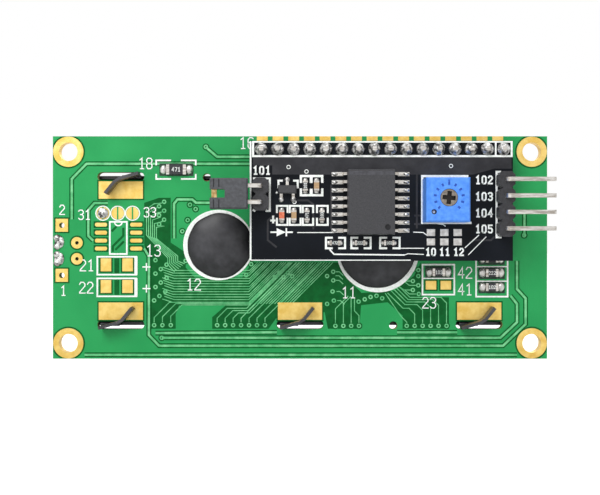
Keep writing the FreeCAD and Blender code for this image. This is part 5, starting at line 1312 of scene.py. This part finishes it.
outlines = Sheet(MAIN_FACE)
for low, high in bare_pads("tab_landings", "unused_chip_pads", "unused_capacitor_pads",
                           "supply_pads"):
    outlines.frame(centre_of((low, high)), (high[0] - low[0]) / MM + OUTLINE * 0.8,
                   (high[2] - low[2]) / MM + OUTLINE * 0.8, OUTLINE, OUTLINE_LEVEL)
for low, high in bare_pads("corner_rings", "test_pads"):
    radius = (high[0] - low[0]) / 2 / MM
    outlines.ring(centre_of((low, high)), radius + OUTLINE, radius - 0.05, OUTLINE_LEVEL, 40)
reach_x, reach_z = board_high[0] - 0.02 * MM, board_high[2] - 0.02 * MM
for vert in outlines.bm.verts:
    vert.co.x = max(-reach_x, min(reach_x, vert.co.x))
    vert.co.z = max(-reach_z, min(reach_z, vert.co.z))
outlines.finish("outlines_of_the_pads", mask_over_laminate)

# %% [markdown]
# Between the pads of a part that isn't fitted the copper is cut, which leaves a dark line inside
# its legend.

# %% Gaps inside the legends
inner = Sheet(MAIN_FACE)
for line in ([(28.6, 3.2), (28.6, 1.9), (30.3, 0.2), (30.3, -0.7)], [(28.5, 1.0), (29.9, -0.4)],
             [(29.7, 3.4), (30.5, 2.6)]):
    inner.ribbon(line, 0.36, DARK_LEVEL)
for z in (-2.95, -6.45):
    inner.ribbon([(29.65, z + 1.2), (29.65, z - 1.2)], 0.8, DARK_LEVEL)
inner.finish("gaps_inside_the_legends", mask_over_laminate)

# %% [markdown]
# The shorting cap has two slots over its contact, each broken in the middle. They are dark
# ribbons of painted shade, and they ride on the cap, so they come off the pins with it.

# %% Slots of the shorting cap
cap_low, cap_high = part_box("jumper_cap")
middle = centre_of("jumper_cap")[1]
slots = Sheet(cap_high[1] / MM)
for from_end in (0.62, 1.43):
    x = cap_high[0] / MM - from_end
    slots.ribbon([(x, middle + 0.95), (x, cap_high[2] / MM - 0.15)], 0.16, 0.006)
    slots.ribbon([(x, middle - 0.95), (x, cap_low[2] / MM + 0.15)], 0.16, 0.006)
# The slots are painted shade, in the dark tone of the chip's dimple.
slots.finish("slots_of_the_cap", polished, body="shorting_cap")

# %% [markdown]
# ## The display side of the green board
# Most of this side is under the frame. The pins are numbered, a few tracks run round the frame,
# and the fine tracks that end in the contact rows show as a comb below it.

# %% Tracks and numbers of the display side
COMB_TEETH, COMB_STEP = 92, 0.63
FRONT_FACE = board_low[1] / MM
gaps, tracks, comb, ink = (Sheet(FRONT_FACE, -1) for _ in range(4))
for line in (
    [(15.0, 16.2), (31.4, 16.2), (36.6, 11.0), (36.6, 7.2)],
    [(10.6, 15.0), (30.8, 15.0), (36.0, 9.8)],
    [(7.4, 13.6), (31.6, 13.6), (36.0, 9.2)],
    [(-33.6, 12.9), (-36.9, 12.9), (-38.2, 11.6), (-38.2, -11.4)],
    [(22.2, -14.6), (32.6, -14.6), (36.4, -10.8), (36.4, -8.0)],
    [(24.0, -15.6), (33.2, -15.6), (37.6, -11.2)],
):
    gaps.ribbon(line, 0.6, DARK_LEVEL)
    tracks.ribbon(line, 0.34, TRACK_LEVEL)
for n in range(COMB_TEETH):
    x = -24.6 + COMB_STEP * n
    comb.ribbon([(x, -13.3), (x, -15.9 + 0.35 * (n % 3))], 0.16, DARK_LEVEL)
for centre in ((15.0, 16.2), (22.2, -14.6), (27.4, -16.2), (32.0, -16.2), (-37.8, 5.0),
               (-37.8, -9.0)):
    gaps.ring(centre, 0.6, 0, DARK_LEVEL)
    tracks.ring(centre, 0.4, 0.18, TRACK_LEVEL)
for n in range(16):
    plot(ink, "%02d" % (n + 1), (first_pin + PITCH * n, 13.45), 0.95, 0.14, step=1.6)
plot(ink, "1", (-34.4, 16.4), 1.7, 0.2)
plot(ink, "16", (8.9, 16.4), 1.7, 0.2)
gaps.finish("display_side_gaps", mask_over_laminate)
tracks.finish("display_side_tracks", mask_over_track)
comb.finish("display_side_comb",
            lacquer_tone("green_lacquer_over_fine_tracks", "1F8746", "2B9A54", 0.34))
ink.finish("display_side_numbers", white_ink)
